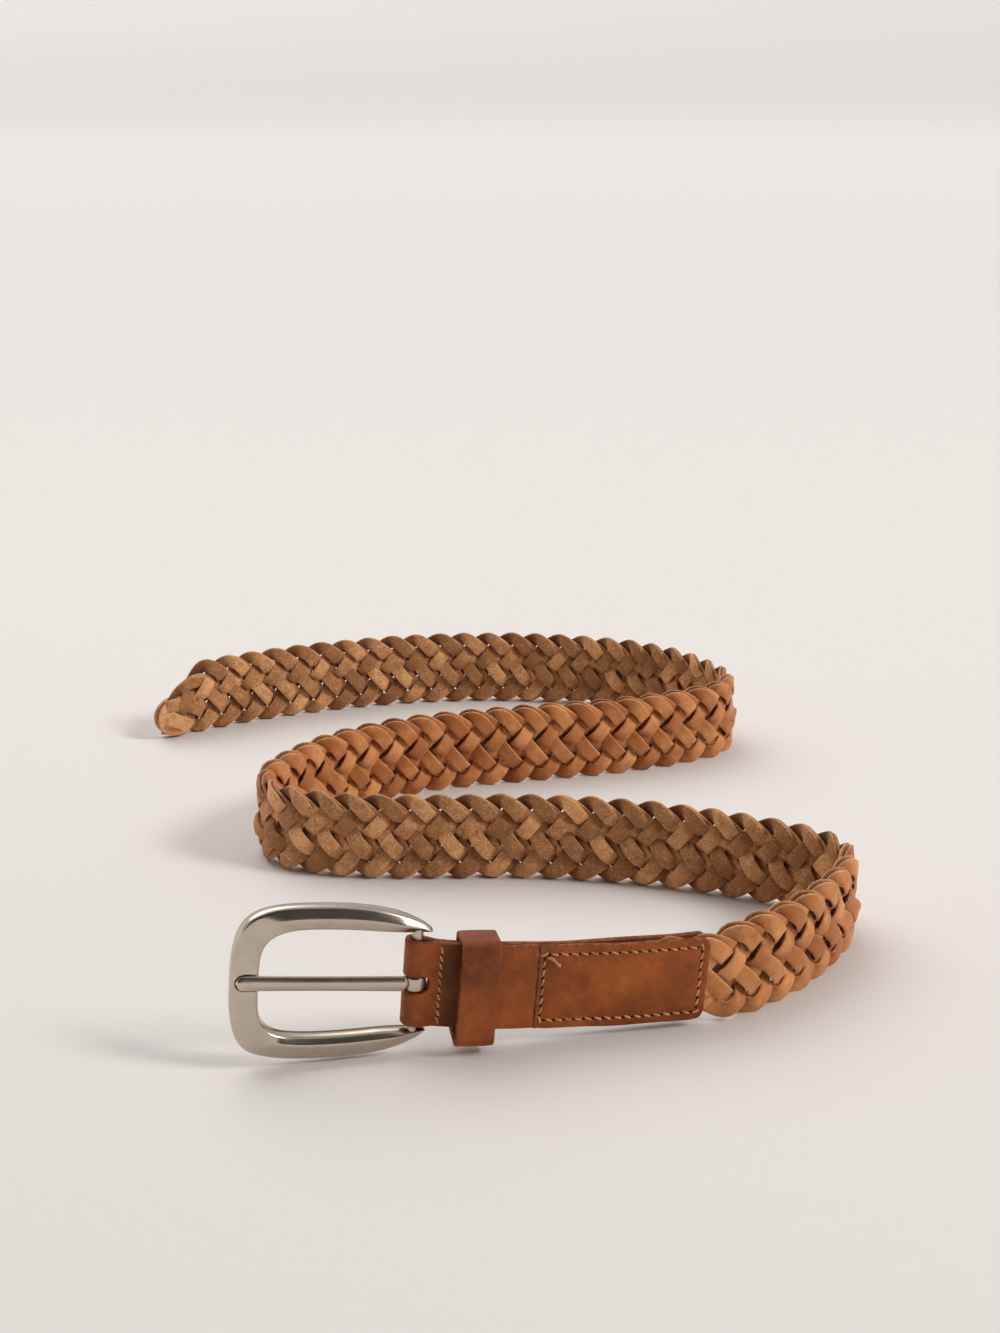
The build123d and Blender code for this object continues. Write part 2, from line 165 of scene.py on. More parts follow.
class Paint(Tree):
    """A material's shader tree, with the few patterns that the belt's finishes share."""

    def __init__(self, name: str) -> None:
        """Starts a material with an empty tree."""
        self.material = bpy.data.materials.new(name)
        self.material.use_nodes = True
        self.material.node_tree.nodes.clear()
        super().__init__(self.material.node_tree)
        self.coords = self.node("ShaderNodeTexCoord").outputs["Object"]

    def speckle(self, scale: float, detail: float = 3.0, rough: float = 0.6,
                vector: Any = None, distortion: float = 0.0) -> Num:
        """Noise of that many cycles per metre, around 0.5."""
        return Num(self, self.out("ShaderNodeTexNoise", Vector=vector or self.coords, Scale=scale,
                                  Detail=detail, Roughness=rough, Distortion=distortion))

    def cells(self, scale: float) -> Num:
        """Distance to the nearest cell point of a Voronoi pattern."""
        return Num(self, self.out("ShaderNodeTexVoronoi", Vector=self.coords, Scale=scale))

    def stretched(self, x: float, y: float, z: float) -> bpy.types.NodeSocket:
        """Object coordinates scaled along each axis."""
        return self.out("ShaderNodeMapping", Vector=self.coords, Scale=(x, y, z))

    def attribute(self, name: str) -> Num:
        """A number stored on the mesh."""
        return Num(self, self.node("ShaderNodeAttribute", {"attribute_name": name}).outputs["Fac"])

    def split(self, vector: bpy.types.NodeSocket) -> tuple[Num, Num, Num]:
        """The three numbers of a vector."""
        return tuple(Num(self, out) for out in
                     self.node("ShaderNodeSeparateXYZ", Vector=vector).outputs)

    def parts(self, name: str) -> tuple[Num, Num, Num]:
        """The three numbers of a vector stored on the mesh."""
        return self.split(self.node("ShaderNodeAttribute", {"attribute_name": name}).outputs["Vector"])

    def mix(self, factor: Any, a: Any, b: Any) -> bpy.types.NodeSocket:
        """Colour a where factor is 0 and b where it is 1."""
        made = self.node("ShaderNodeMix", {"data_type": "RGBA"}, i0=factor,
                         i6=self._colour(a), i7=self._colour(b))
        return made.outputs[2]

    @staticmethod
    def _colour(value: Any) -> Any:
        """A colour with its alpha, or a link as it is."""
        return (*value, 1.0) if isinstance(value, tuple) else value

    def bump(self, height: Num, distance: float, strength: float = 1.0,
             below: Any = None) -> bpy.types.NodeSocket:
        """Normal of a relief; distance in millimetres is the height of 1."""
        inputs = {"Height": height, "Distance": distance * MM, "Strength": strength}
        if below is not None:
            inputs["Normal"] = below
        return self.node("ShaderNodeBump", None, **inputs).outputs[0]

    def finish(self, **values: Any) -> bpy.types.Material:
        """Closes the tree with a Principled shader of those inputs."""
        fixed = {k: self._colour(v) for k, v in values.items()}
        shader = self.node("ShaderNodeBsdfPrincipled", None, **fixed)
        output = self.node("ShaderNodeOutputMaterial")
        self.group.links.new(shader.outputs[0], output.inputs[0])
        return self.material


def srgb(red: int, green: int, blue: int) -> Colour:
    """A colour given as screen values from 0 to 255, turned linear."""
    def line(value: int) -> float:
        part = value / 255
        return part / 12.92 if part <= 0.04045 else ((part + 0.055) / 1.055) ** 2.4
    return (line(red), line(green), line(blue))


# ---- finishes -----------------------------------------------------------------------------------


@dataclass(frozen=True)
class LaceLeather:
    """Braiding lace: smooth oiled grain on one face, suede on the other, paler cut edges."""

    grain_light: Colour = srgb(230, 158, 98)
    grain_dark: Colour = srgb(176, 106, 54)
    suede_light: Colour = srgb(250, 187, 129)
    suede_dark: Colour = srgb(154, 103, 62)
    edge: Colour = srgb(236, 172, 120)
    # Dark brown of the pores, and also painted shade in the recesses between laces.
    groove: Colour = srgb(78, 40, 18)

    def material(self) -> bpy.types.Material:
        """Builds the finish from the lace's own section coordinates."""
        p = Paint("lace_leather")
        across, through, _ = p.parts("section")
        tone = p.attribute("tone")
        depth = p.attribute("depth")
        suede_face = p.ramp(through, -0.1, 0.35)
        cut_edge = p.ramp(p.math("ABSOLUTE", across), 0.90, 0.985)
        nap = p.speckle(1500, 4, 0.85)
        mottle = p.speckle(420, 3, 0.6)
        cloud = p.speckle(95, 2, 0.5)
        pores = p.ramp(p.cells(2200), 0.0, 0.35)
        grain_mix = p.ramp(mottle * 0.45 + cloud * 0.75 + tone * 0.45, 0.55, 1.15)
        suede_mix = p.ramp(mottle * 0.4 + nap * 1.1 + cloud * 0.3 + tone * 0.45, 0.85, 1.45)
        grain = p.mix(grain_mix, self.grain_dark, self.grain_light)
        grain = p.mix((1 - pores) * 0.3, grain, self.groove)
        suede = p.mix(suede_mix, self.suede_dark, self.suede_light)
        face = p.mix(suede_face, grain, suede)
        worn = p.ramp(p.speckle(900, 3, 0.6), 0.3, 0.62)
        colour = p.mix(cut_edge * worn * 0.7, face, self.edge)
        # Painted shade: a face that lies deep in the braid is pulled towards the dark brown, standing in
        # for the shade between the laces.
        outward = depth * (suede_face * 2 - 1)
        colour = p.mix(p.ramp(outward, -0.9, 0.75, 0.72, 0.0), colour, self.groove)
        fuzz = nap * 0.9 + p.speckle(3600, 2, 0.6) * 0.4
        crease = p.speckle(900, 4, 0.65, p.coords, 0.6)
        relief = suede_face * fuzz * 0.26 + (1 - suede_face) * (crease * 0.18 - (1 - pores) * 0.10)
        normal = p.bump(relief, 0.55, 0.9)
        rough = suede_face * 0.30 + 0.50 + mottle * 0.14
        return p.finish(Base_Color=colour, Roughness=rough, Normal=normal, Specular_IOR_Level=0.35,
                        Sheen_Weight=0.10, Sheen_Roughness=0.45)


@dataclass(frozen=True)
class TabLeather:
    """Thick saddle leather with a satin face and dyed, slightly raw cut edges."""

    light: Colour = srgb(188, 99, 33)
    dark: Colour = srgb(110, 51, 13)
    shade: Colour = srgb(56, 22, 8)
    edge_dark: Colour = srgb(110, 52, 22)
    edge_raw: Colour = srgb(176, 106, 60)

    def material(self) -> bpy.types.Material:
        """Builds the finish; edge is 1 on a cut edge, and the stored shade mask is 1 in the painted shade
        between the bar seam and the keeper and lower where it only gives a flat darker tone.
        """
        p = Paint("tab_leather")
        edge = p.attribute("edge")
        rub = p.attribute("rub")
        cloud = p.speckle(70, 3, 0.55)
        mottle = p.speckle(330, 4, 0.65)
        pebble = p.cells(1500)
        fine = p.speckle(2600, 3, 0.7)
        tone = p.ramp(cloud * 0.9 + mottle * 0.5 + fine * 0.2, 0.45, 1.25)
        face = p.mix(tone, self.dark, self.light)
        # Painted shade: the dark shade colour is mixed in by the stored mask, strongly in the recess
        # between the bar seam and the keeper and weakly as a flat darker tone.
        face = p.mix(rub * 0.62, face, self.shade)
        raw = p.ramp(p.speckle(500, 3, 0.6), 0.42, 0.62)
        rim = p.mix(raw * 0.55, self.edge_dark, self.edge_raw)
        colour = p.mix(p.ramp(edge, 0.35, 0.8), face, rim)
        relief = fine * 0.10 + pebble * 0.22 + mottle * 0.25
        normal = p.bump(relief, 0.35, 0.7)
        rough = mottle * 0.22 + fine * 0.08 + edge * 0.18 + 0.34
        return p.finish(Base_Color=colour, Roughness=rough, Normal=normal, Specular_IOR_Level=0.30)


@dataclass(frozen=True)
class WaxThread:
    """Waxed sewing thread with its twist."""

    light: Colour = srgb(240, 184, 124)
    dark: Colour = srgb(160, 98, 52)

    def material(self) -> bpy.types.Material:
        """Builds the finish."""
        p = Paint("wax_thread")
        twist = p.speckle(2400, 2, 0.5, p.stretched(1.0, 1.0, 0.4))
        wear = p.speckle(300, 2, 0.5)
        colour = p.mix(p.ramp(twist * 0.6 + wear * 0.7, 0.35, 0.95), self.dark, self.light)
        return p.finish(Base_Color=colour, Roughness=twist * 0.2 + 0.45,
                        Normal=p.bump(twist, 0.15, 0.8), Specular_IOR_Level=0.4)


@dataclass(frozen=True)
class StitchHoleShade:
    """Painted shade: a dark colour standing for the shade inside a stitch hole."""

    colour: Colour = srgb(34, 16, 8)

    def material(self) -> bpy.types.Material:
        """Builds the finish."""
        p = Paint("stitch_hole")
        hole_mottle = p.speckle(2000, 2, 0.5)
        colour = p.mix(hole_mottle * 0.5, self.colour, srgb(60, 30, 14))
        return p.finish(Base_Color=colour, Roughness=hole_mottle * 0.2 + 0.7, Specular_IOR_Level=0.2)


@dataclass(frozen=True)
class BrushedNickel:
    """Warm nickel plate, satin brushed along the pieces, with faint handling marks."""

    light: Colour = srgb(206, 194, 180)
    dark: Colour = srgb(188, 175, 160)

    def material(self) -> bpy.types.Material:
        """Builds the finish."""
        p = Paint("brushed_nickel")
        brush = p.speckle(900, 3, 0.7, p.stretched(0.12, 1.0, 2.6))
        haze = p.speckle(120, 3, 0.55)
        fine = p.speckle(4200, 2, 0.6)
        colour = p.mix(p.ramp(haze * 0.7 + brush * 0.5, 0.2, 1.0), self.dark, self.light)
        rough = haze * 0.05 + brush * 0.06 + 0.20
        normal = p.bump(brush * 0.5 + fine * 0.25, 0.012, 0.4)
        return p.finish(Base_Color=colour, Metallic=1.0, Roughness=rough, Normal=normal)


@dataclass(frozen=True)
class PaleFloor:
    """Warm off-white seamless paper, with painted shade that makes it a little darker far off, and a
    painted glow where it turns upright.
    """

    colour: Colour = srgb(233, 228, 224)
    cloud: Colour = srgb(214, 206, 200)
    far_painted_shade: Colour = srgb(221, 217, 214)
    wall_glow: Colour = (0.12, 0.118, 0.115)

    def material(self) -> bpy.types.Material:
        """Builds the finish."""
        p = Paint("pale_floor")
        cloth = p.speckle(260, 3, 0.6)
        colour = p.mix(cloth * 0.16, self.colour, self.cloud)
        _, depth, height = p.split(p.coords)
        # Painted light: the rising wall glows by emission, and painted shade darkens the floor far off,
        # against the extra light it gets there.
        glow = p.mix(p.ramp(height, 0.0, 0.45), (0.0, 0.0, 0.0), self.wall_glow)
        colour = p.mix(p.ramp(depth, -0.2, 2.0), colour, self.far_painted_shade)
        return p.finish(Base_Color=colour, Roughness=0.9, Specular_IOR_Level=0.0,
                        Emission_Color=glow, Emission_Strength=1.0)


class Finish(Enum):
    """The belt's finishes, each with the record's material slot it belongs to."""

    LACE = ("lace_leather", LaceLeather())
    TAB = ("tab_leather", TabLeather())
    THREAD = ("thread", WaxThread())
    HOLE = ("thread", StitchHoleShade())
    NICKEL = ("nickel", BrushedNickel())

    @property
    def slot(self) -> str:
        """Name of the record's material slot."""
        return self.value[0]

    def material(self) -> bpy.types.Material:
        """The material, made once."""
        known = bpy.data.materials.get(f"finish_{self.name.lower()}")
        if known is None:
            known = self.value[1].material()
            known.name = f"finish_{self.name.lower()}"
        return known


# ---- meshes -------------------------------------------------------------------------------------


def link(name: str, content: Any) -> bpy.types.Object:
    """A new object of a mesh, light or camera, in the scene."""
    made = bpy.data.objects.new(name, content)
    bpy.context.scene.collection.objects.link(made)
    return made


def new_mesh(name: str, points: Sequence[Any], edges: Sequence[Any] = (),
             faces: Sequence[Any] = ()) -> bpy.types.Mesh:
    """A mesh of points in metres."""
    mesh = bpy.data.meshes.new(name)
    mesh.from_pydata(points, edges, faces)
    return mesh


def store(mesh: bpy.types.Mesh, name: str, values: Sequence[float], kind: str = "FLOAT") -> None:
    """Stores a number, or the three numbers of a FLOAT_VECTOR, for each point of a mesh."""
    field_name = "vector" if kind == "FLOAT_VECTOR" else "value"
    mesh.attributes.new(name, kind, "POINT").data.foreach_set(field_name, values)


def tube_faces(rings: int, sides: int, closed: bool = False) -> list[tuple[int, ...]]:
    """Faces between rings of points.

    Args:
        rings: number of rings.
        sides: points in each ring.
        closed: True if the last ring joins the first; otherwise both ends get a face.

    Returns:
        The faces as point numbers.
    """
    faces: list[tuple[int, ...]] = []
    for i in range(rings if closed else rings - 1):
        j = (i + 1) % rings
        for k in range(sides):
            l = (k + 1) % sides
            faces.append((i * sides + k, j * sides + k, j * sides + l, i * sides + l))
    if not closed:
        faces.append(tuple(range(sides)))
        faces.append(tuple(reversed(range((rings - 1) * sides, rings * sides))))
    return faces


def around(count: int) -> list[float]:
    """Even angles round a full turn."""
    return [2 * pi * k / count for k in range(count)]


def powered(value: float, power: float) -> float:
    """The size of a value raised to a power, with the value's sign."""
    return abs(value) ** power * (1 if value >= 0 else -1)


@dataclass
class Station:
    """A place on a path where a section is set: its middle and the directions across and through."""

    middle: Vector
    across: Vector
    through: Vector
    width: float = 1.0
    edge: float = 0.0


def ring_section(width: float, thickness: float, corner: float, steps: int = 2,
                 bow: float = 0.0) -> list[tuple[float, float, float]]:
    """Outline of a strip's section, counter-clockwise, with rounded corners.

    Args:
        width: full width.
        thickness: full thickness.
        corner: corner radius.
        steps: divisions of each corner.
        bow: how far the upper face is crowned.

    Returns:
        (across, through, edge) for each point, where edge is 1 on the narrow sides.
    """
    half, deep = width / 2 - corner, thickness / 2 - corner
    points: list[tuple[float, float, float]] = []
    flats = max(3, int(width / 1.2))
    for quarter, (cx, cy) in enumerate(((half, deep), (-half, deep), (-half, -deep), (half, -deep))):
        for k in range(steps + 1):
            turn = (quarter + k / steps) * pi / 2
            side = abs(cos(turn))
            points.append((cx + corner * cos(turn), cy + corner * sin(turn), side))
        if quarter in (0, 2):
            for k in range(1, flats):
                t = k / flats
                sign = 1 if quarter == 0 else -1
                x = sign * (half - 2 * half * t)
                lift = bow * (1 - (x / half) ** 2) if quarter == 0 else 0.0
                points.append((x, sign * thickness / 2 + lift, 0.0))
    return points


def sweep(name: str, stations: Sequence[Station], section: Sequence[tuple[float, float, float]],
          closed: bool = False,
          relief: Callable[[int, float, float], float] | None = None) -> bpy.types.Object:
    """Runs a section along stations and closes the ends.

    Args:
        name: name of the object.
        stations: places of the section, in millimetres.
        section: (across, through, edge) points of the outline.
        closed: True if the last station joins the first.
        relief: extra lift of a point through the strip, from station number, across and through.

    Returns:
        The object, in metres, with smooth faces and an edge attribute.
    """
    points: list[Vector] = []
    edges: list[float] = []
    for number, st in enumerate(stations):
        for x, y, edge in section:
            lift = relief(number, x, y) if relief else 0.0
            points.append((st.middle + st.across * (x * st.width) + st.through * (y + lift)) * MM)
            edges.append(max(edge, st.edge))
    mesh = new_mesh(name, points, faces=tube_faces(len(stations), len(section), closed))
    store(mesh, "edge", edges)
    return finish_mesh(name, mesh)


def finish_mesh(name: str, mesh: bpy.types.Mesh) -> bpy.types.Object:
    """Turns faces outwards, smooths them and links a new object of the mesh."""
    work = bmesh.new()
    work.from_mesh(mesh)
    bmesh.ops.recalc_face_normals(work, faces=work.faces)
    work.to_mesh(mesh)
    work.free()
    mesh.shade_smooth()
    return link(name, mesh)


def baked(obj: bpy.types.Object, name: str) -> bpy.types.Object:
    """A plain copy of obj with its modifiers applied; obj itself is removed."""
    graph = bpy.context.evaluated_depsgraph_get()
    mesh = bpy.data.meshes.new_from_object(obj.evaluated_get(graph), depsgraph=graph)
    made = link(name, mesh)
    mesh.name = name
    bpy.data.objects.remove(obj)
    return made


def cut_away(obj: bpy.types.Object, cutter: bpy.types.Object, name: str) -> bpy.types.Object:
    """What is left of obj outside the cutter, as a plain new object; the other two are removed."""
    cut = obj.modifiers.new("cut", "BOOLEAN")
    cut.operation = "DIFFERENCE"
    cut.object = cutter
    cut.solver = "EXACT"
    made = baked(obj, name)
    bpy.data.objects.remove(cutter)
    made.data.materials.clear()
    return made


def geometry_tree(name: str, inputs: dict[str, str]) -> tuple[Tree, dict[str, bpy.types.NodeSocket]]:
    """Starts a Geometry Nodes tree.

    Args:
        name: name of the tree.
        inputs: kind of each input by its name, the geometry to work on first.

    Returns:
        The tree and its input sockets by name.
    """
    group = bpy.data.node_groups.new(name, "GeometryNodeTree")
    face = group.interface
    face.new_socket("Geometry", in_out="OUTPUT", socket_type="NodeSocketGeometry")
    for label, kind in inputs.items():
        face.new_socket(label, in_out="INPUT", socket_type=f"NodeSocket{kind}")
    tree = Tree(group)
    return tree, {s.name: s for s in tree.node("NodeGroupInput").outputs if s.name}


def hand_over(obj: bpy.types.Object, body: str, finish: Finish, *nodes: str) -> None:
    """Gives a piece its finish and body, and lets it stand for CAD nodes."""
    if not obj.data.materials:
        obj.data.materials.append(finish.material())
    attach(obj, body)
    if nodes:
        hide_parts(*nodes)
    log.info("%s: %d faces on %s", obj.name, len(obj.data.polygons), body)


def set_inputs(modifier: bpy.types.NodesModifier, values: dict[str, Any]) -> None:
    """Sets a Geometry Nodes modifier's inputs, found by name and set by identifier."""
    for item in modifier.node_group.interface.items_tree:
        if item.item_type == "SOCKET" and item.in_out == "INPUT" and item.name in values:
            modifier[item.identifier] = values[item.name]


def smooth_step(t: float) -> float:
    """Smooth change from 0 to 1."""
    t = min(max(t, 0.0), 1.0)
    return t * t * (3 - 2 * t)


# ---- where things are -----------------------------------------------------------------------------


@dataclass
class TabPlace:
    """Own coordinates of the tab and buckle: a along the tab, b up across it, n out to the front."""

    bar: Vector = field(default_factory=lambda: Vector((-10.7, -149.2, 20.7)))
    yaw: float = radians(12.0)
    roll: float = radians(4.5)

    def __post_init__(self) -> None:
        """Works out the three directions."""
        self.along = Vector((cos(self.yaw) * cos(self.roll), sin(self.yaw) * cos(self.roll),
                             -sin(self.roll)))
        self.up = Vector((cos(self.yaw) * sin(self.roll), sin(self.yaw) * sin(self.roll),
                          cos(self.roll)))
        self.out = Vector((sin(self.yaw), -cos(self.yaw), 0.0))

    def at(self, a: float, b: float = 0.0, n: float = 0.0) -> Vector:
        """Point of the row frame in millimetres."""
        return self.bar + self.along * a + self.up * b + self.out * n

    def sag(self, a: float) -> float:
        """How far the middle of the leather hangs above (or below) the straight line at a."""
        a = min(max(a, -3.5), 84.0)
        return -1.1 + (2.5 * ((33 - a) / 36) ** 2 if a < 33 else 2.0 * ((a - 33) / 50) ** 2)

    def leather(self, a: float, b: float = 0.0, n: float = 0.0) -> Vector:
        """Point on the gently sagging tab."""
        return self.at(a, b + self.sag(a), n)


@dataclass
class BeltRoute:
    """Line of the braid over the floor, from the tab to the tip."""

    place: TabPlace
    tab_end: float = 84.0
    length: float = 774.0
    taper: float = 19.0
    swing: float = 12.3
    centre_z: float = 15.0
    tip_narrowing: float = 7.2
    tip_drop: float = 6.6
    legs: tuple[Point2, ...] = (
        (11, 22), (62, 33), (25, 75), (16, 11),
        (99, 29), (30, -3), (33, -22),
        (27, -85), (54, -40), (42, -18), (43, -1),
        (52, 19), (28, 81), (62, 51),
        (87, 29), (106, 26),
    )

    def at(self, u: float) -> tuple[float, float, float]:
        """x, y and heading at distance u from the tab."""
        start = self.place.at(self.tab_end)
        x, y, heading = start.x, start.y, self.place.yaw
        if u < 0:
            run = u * cos(self.place.roll)
            return x + run * cos(heading), y + run * sin(heading), heading
        for length, turn in self.legs:
            step = min(u, length)
            bend = radians(turn) / length
            swept = bend * step
            x += (sin(heading + swept) - sin(heading)) / bend
            y -= (cos(heading + swept) - cos(heading)) / bend
            heading += swept
            u -= step
            if u <= 0:
                break
        if u > 0:
            x += u * cos(heading)
            y += u * sin(heading)
        return x, y, heading

    def reach(self, u: float) -> float:
        """How far a lead swings up and down at distance u."""
        tip = smooth_step((u - self.length + self.taper) / self.taper)
        return self.swing - 2.8 * (1 - smooth_step((u + 2) / 16)) - self.tip_narrowing * tip

    def centre(self, u: float) -> float:
        """Height of the braid's middle at distance u."""
        falling = self.place.at(self.tab_end).z - min(u, 18) * sin(self.place.roll)
        falling += self.place.sag(self.tab_end + min(u, 0.0))
        lift = smooth_step((u + 2) / 20)
        tip = self.tip_drop * smooth_step((u - self.length + self.taper) / self.taper)
        return falling * (1 - lift) + self.centre_z * lift - tip

    def point(self, u: float, w: float, v: float) -> Vector:
        """Point at distance u, w towards the suede side and v above the middle, in millimetres."""
        x, y, heading = self.at(u)
        return Vector((x - w * sin(heading), y + w * cos(heading), self.centre(u) + v))

    def normal(self, u: float) -> Vector:
        """Direction from the grain side to the suede side."""
        heading = self.at(u)[2]
        return Vector((-sin(heading), cos(heading), 0.0))


# ---- braid ----------------------------------------------------------------------------------------


@dataclass
class Braid:
    """Ten laces in five pairs, woven over one and under one along the route."""

    route: BeltRoute
    leads: int = 5
    wave: float = 51.0
    lace_width: float = 5.2
    lace_thickness: float = 1.3
    weave: float = 1.7
    spread: float = 0.35
    edge_spread: float = 0.3
    lag: float = 1.75
    stand_out: float = 1.1
    inside_tab: float = 15.0
    step: float = 1.1
    sharpness: float = 0.86

    def build(self) -> None:
        """Makes all the laces and the pieces that close the tip."""
        section = self._section()
        line = self._line()
        tree = self._weave_tree()
        number = 0
        for lead in range(self.leads):
            for side in (1, -1):
                number += 1
                self._lace(number, lead, side, line, section, tree)
        bpy.data.objects.remove(section)
        bpy.data.objects.remove(line)
        self._tip()

    def _section(self) -> bpy.types.Object:
        """Closed outline of a lace, with where each point lies on it."""
        outline = ring_section(self.lace_width, self.lace_thickness, 0.42, 2, 0.16)
        count = len(outline)
        mesh = new_mesh("lace_section", [(x * MM, y * MM, 0) for x, y, _ in outline],
                        [(k, (k + 1) % count) for k in range(count)])
        store(mesh, "section", self._shares(outline), "FLOAT_VECTOR")
        return link("lace_section", mesh)

    def _shares(self, section: Sequence[tuple[float, float, float]]) -> list[float]:
        """Where each point of a lace's section lies, from -1 to 1 across and through, and 0."""
        half, deep = self.lace_width / 2, self.lace_thickness / 2
        return [c for x, y, _ in section for c in (x / half, y / deep, 0.0)]

    def _line(self) -> bpy.types.Object:
        """The route as a row of points that carry what the weave needs."""
        span = self.route.length + self.inside_tab
        count = int(span / self.step)
        places = [-self.inside_tab + span * k / count for k in range(count + 1)]
        mesh = new_mesh("route_line", [self.route.point(u, 0, 0) * MM for u in places],
                        [(k, k + 1) for k in range(count)])
        store(mesh, "run", places)
        store(mesh, "reach", [self.route.reach(u) * MM for u in places])
        store(mesh, "pressed", [smooth_step((u + 1) / 12) for u in places])
        store(mesh, "belt_normal", [c for u in places for c in self.route.normal(u)], "FLOAT_VECTOR")
        return link("route_line", mesh)

    def _weave_tree(self) -> bpy.types.NodeTree:
        """Geometry tree that lays one lace along the route by the rule of the weave."""
        names = ("Wave", "Weave", "Half Thickness", "Spread", "Edge Spread", "Lag", "Stand Out",
                 "Phase", "Side", "Tone", "Play")
        t, given = geometry_tree("weave_lace", {
            "Route": "Geometry", "Section": "Object", "Leather": "Material",
            **{name: "Float" for name in names}, "Seed": "Int"})
        number = {name: Num(t, given[name]) for name in (*names, "Seed")}

        def named(name: str, kind: str = "FLOAT") -> bpy.types.NodeSocket:
            """A named attribute of the route."""
            return t.out("GeometryNodeInputNamedAttribute", {"data_type": kind}, Name=name)

        def keep(curve: bpy.types.NodeSocket, name: str, value: Any,
                 kind: str = "FLOAT") -> bpy.types.NodeSocket:
            """The curve with a value stored on its points."""
            return t.out("GeometryNodeStoreNamedAttribute", {"data_type": kind, "domain": "POINT"},
                         Geometry=curve, Name=name, Value=value)

        def vector_math(operation: str, **values: Any) -> bpy.types.NodeSocket:
            """A vector operation."""
            return t.out("ShaderNodeVectorMath", {"operation": operation}, **values)

        run = Num(t, named("run"))
        reach = Num(t, named("reach"))
        normal = named("belt_normal", "FLOAT_VECTOR")
        plain = run / number["Wave"] + number["Phase"]
        inner = 1 - t.math("POWER", t.math("ABSOLUTE", t.math("COSINE", plain * (2 * pi))), 3.0)
        phase = t.math("FRACT", plain - number["Side"] * number["Lag"] * inner / number["Wave"])
        angle = phase * (2 * pi)
        swing = t.math("ARCSINE", t.math("COSINE", angle) * self.sharpness) / asin(self.sharpness)
        count = t.ramp(phase, 0.0, 0.1, 0.0, 0.5, False)
        for low, high, more in ((0.1, 0.4, 3.0), (0.4, 0.6, 1.0), (0.6, 0.9, 3.0), (0.9, 1.0, 0.5)):
            count = count + t.ramp(phase, low, high, 0.0, more, False)
        over = 0 - t.math("COSINE", (count + 7.5) * pi)

        def drift(cycles: float, shift: float) -> Num:
            """Slow change along the lace, from about -1 to 1, its own for each lace."""
            place = t.out("ShaderNodeCombineXYZ", X=run * cycles, Y=number["Seed"] * 7.31 + shift)
            made = t.out("ShaderNodeTexNoise", {"noise_dimensions": "2D"}, Scale=1.0, Detail=1.0,
                         Vector=place)
            return (Num(t, made) - 0.5) * 2.6

        closing = 1 - t.math("POWER", t.math("ABSOLUTE", swing), 3.0)
        apart = number["Edge Spread"] + number["Spread"] * closing
        from_best = t.math("ABSOLUTE", phase - (number["Side"] * 0.2 + 0.5))
        proud = t.ramp(from_best, 0.06, 0.14, 1.0, 0.0)
        weave = (number["Weave"] * t.ramp(over, -0.85, 0.85, -1.0, 1.0)
                 + proud * number["Stand Out"] * number["Side"]) * Num(t, named("pressed"))
        out = weave + number["Side"] * number["Half Thickness"] + drift(0.09, 3.0) * number["Play"] * 0.35
        high = reach * swing + number["Side"] * apart + drift(0.07, 9.0) * number["Play"]
        upward = t.out("ShaderNodeCombineXYZ", Z=high)
        outward = vector_math("SCALE", Vector=normal, Scale=out)
        move = vector_math("ADD", i0=upward, i1=outward)

        line = t.out("GeometryNodeMeshToCurve", Mesh=given["Route"])
        line = t.out("GeometryNodeSetPosition", Geometry=line, Offset=move)
        wide = vector_math("CROSS_PRODUCT", i0=normal, i1=t.out("GeometryNodeInputTangent"))
        line = keep(line, "wide", wide, "FLOAT_VECTOR")
        line = t.out("GeometryNodeSetCurveNormal", {"mode": "FREE"}, Curve=line,
                     Normal=named("wide", "FLOAT_VECTOR"))
        line = t.out("GeometryNodeSetCurveTilt", Curve=line,
                     Tilt=drift(0.11, 21.0) * 0.10 + proud * 0.22)
        line = t.out("GeometryNodeSetCurveRadius", Curve=line,
                     Radius=drift(0.05, 31.0) * 0.045 - proud * 0.14 + 1.0)
        line = keep(line, "tone", number["Tone"] + drift(0.02, 41.0) * 0.2)
        # How far the lace lies out from the braid's middle; the lace finish turns this into painted
        # shade.
        line = keep(line, "depth", out / number["Weave"])
        shape = t.node("GeometryNodeObjectInfo", Object=given["Section"]).outputs["Geometry"]
        shape = t.out("GeometryNodeMeshToCurve", Mesh=shape)
        lace = t.out("GeometryNodeCurveToMesh", Curve=line, Profile_Curve=shape, Fill_Caps=True)
        t.close(lace, given["Leather"])
        return t.group

    def _lace(self, number: int, lead: int, side: int, line: bpy.types.Object,
              section: bpy.types.Object, tree: bpy.types.NodeTree) -> None:
        """Makes one lace in the place of its CAD node."""
        carrier = link("carrier", line.data.copy())
        modifier = carrier.modifiers.new("weave", "NODES")
        modifier.node_group = tree
        set_inputs(modifier, {
            "Section": section, "Leather": Finish.LACE.material(), "Wave": self.wave,
            "Weave": self.weave * MM, "Half Thickness": self.lace_thickness / 2 * 1.05 * MM,
            "Spread": self.spread * MM, "Edge Spread": self.edge_spread * MM, "Lag": self.lag,
            "Stand Out": self.stand_out * MM,
            "Phase": lead / self.leads + 2.0, "Side": float(side),
            "Tone": ((number * 37) % 11) / 11 * 0.8, "Play": 0.26 * MM, "Seed": number,
        })
        lace = baked(carrier, f"lace_{number:02d}_leather")
        lace.data.shade_smooth()
        hand_over(lace, "strap", Finish.LACE, f"lace_{number:02d}")

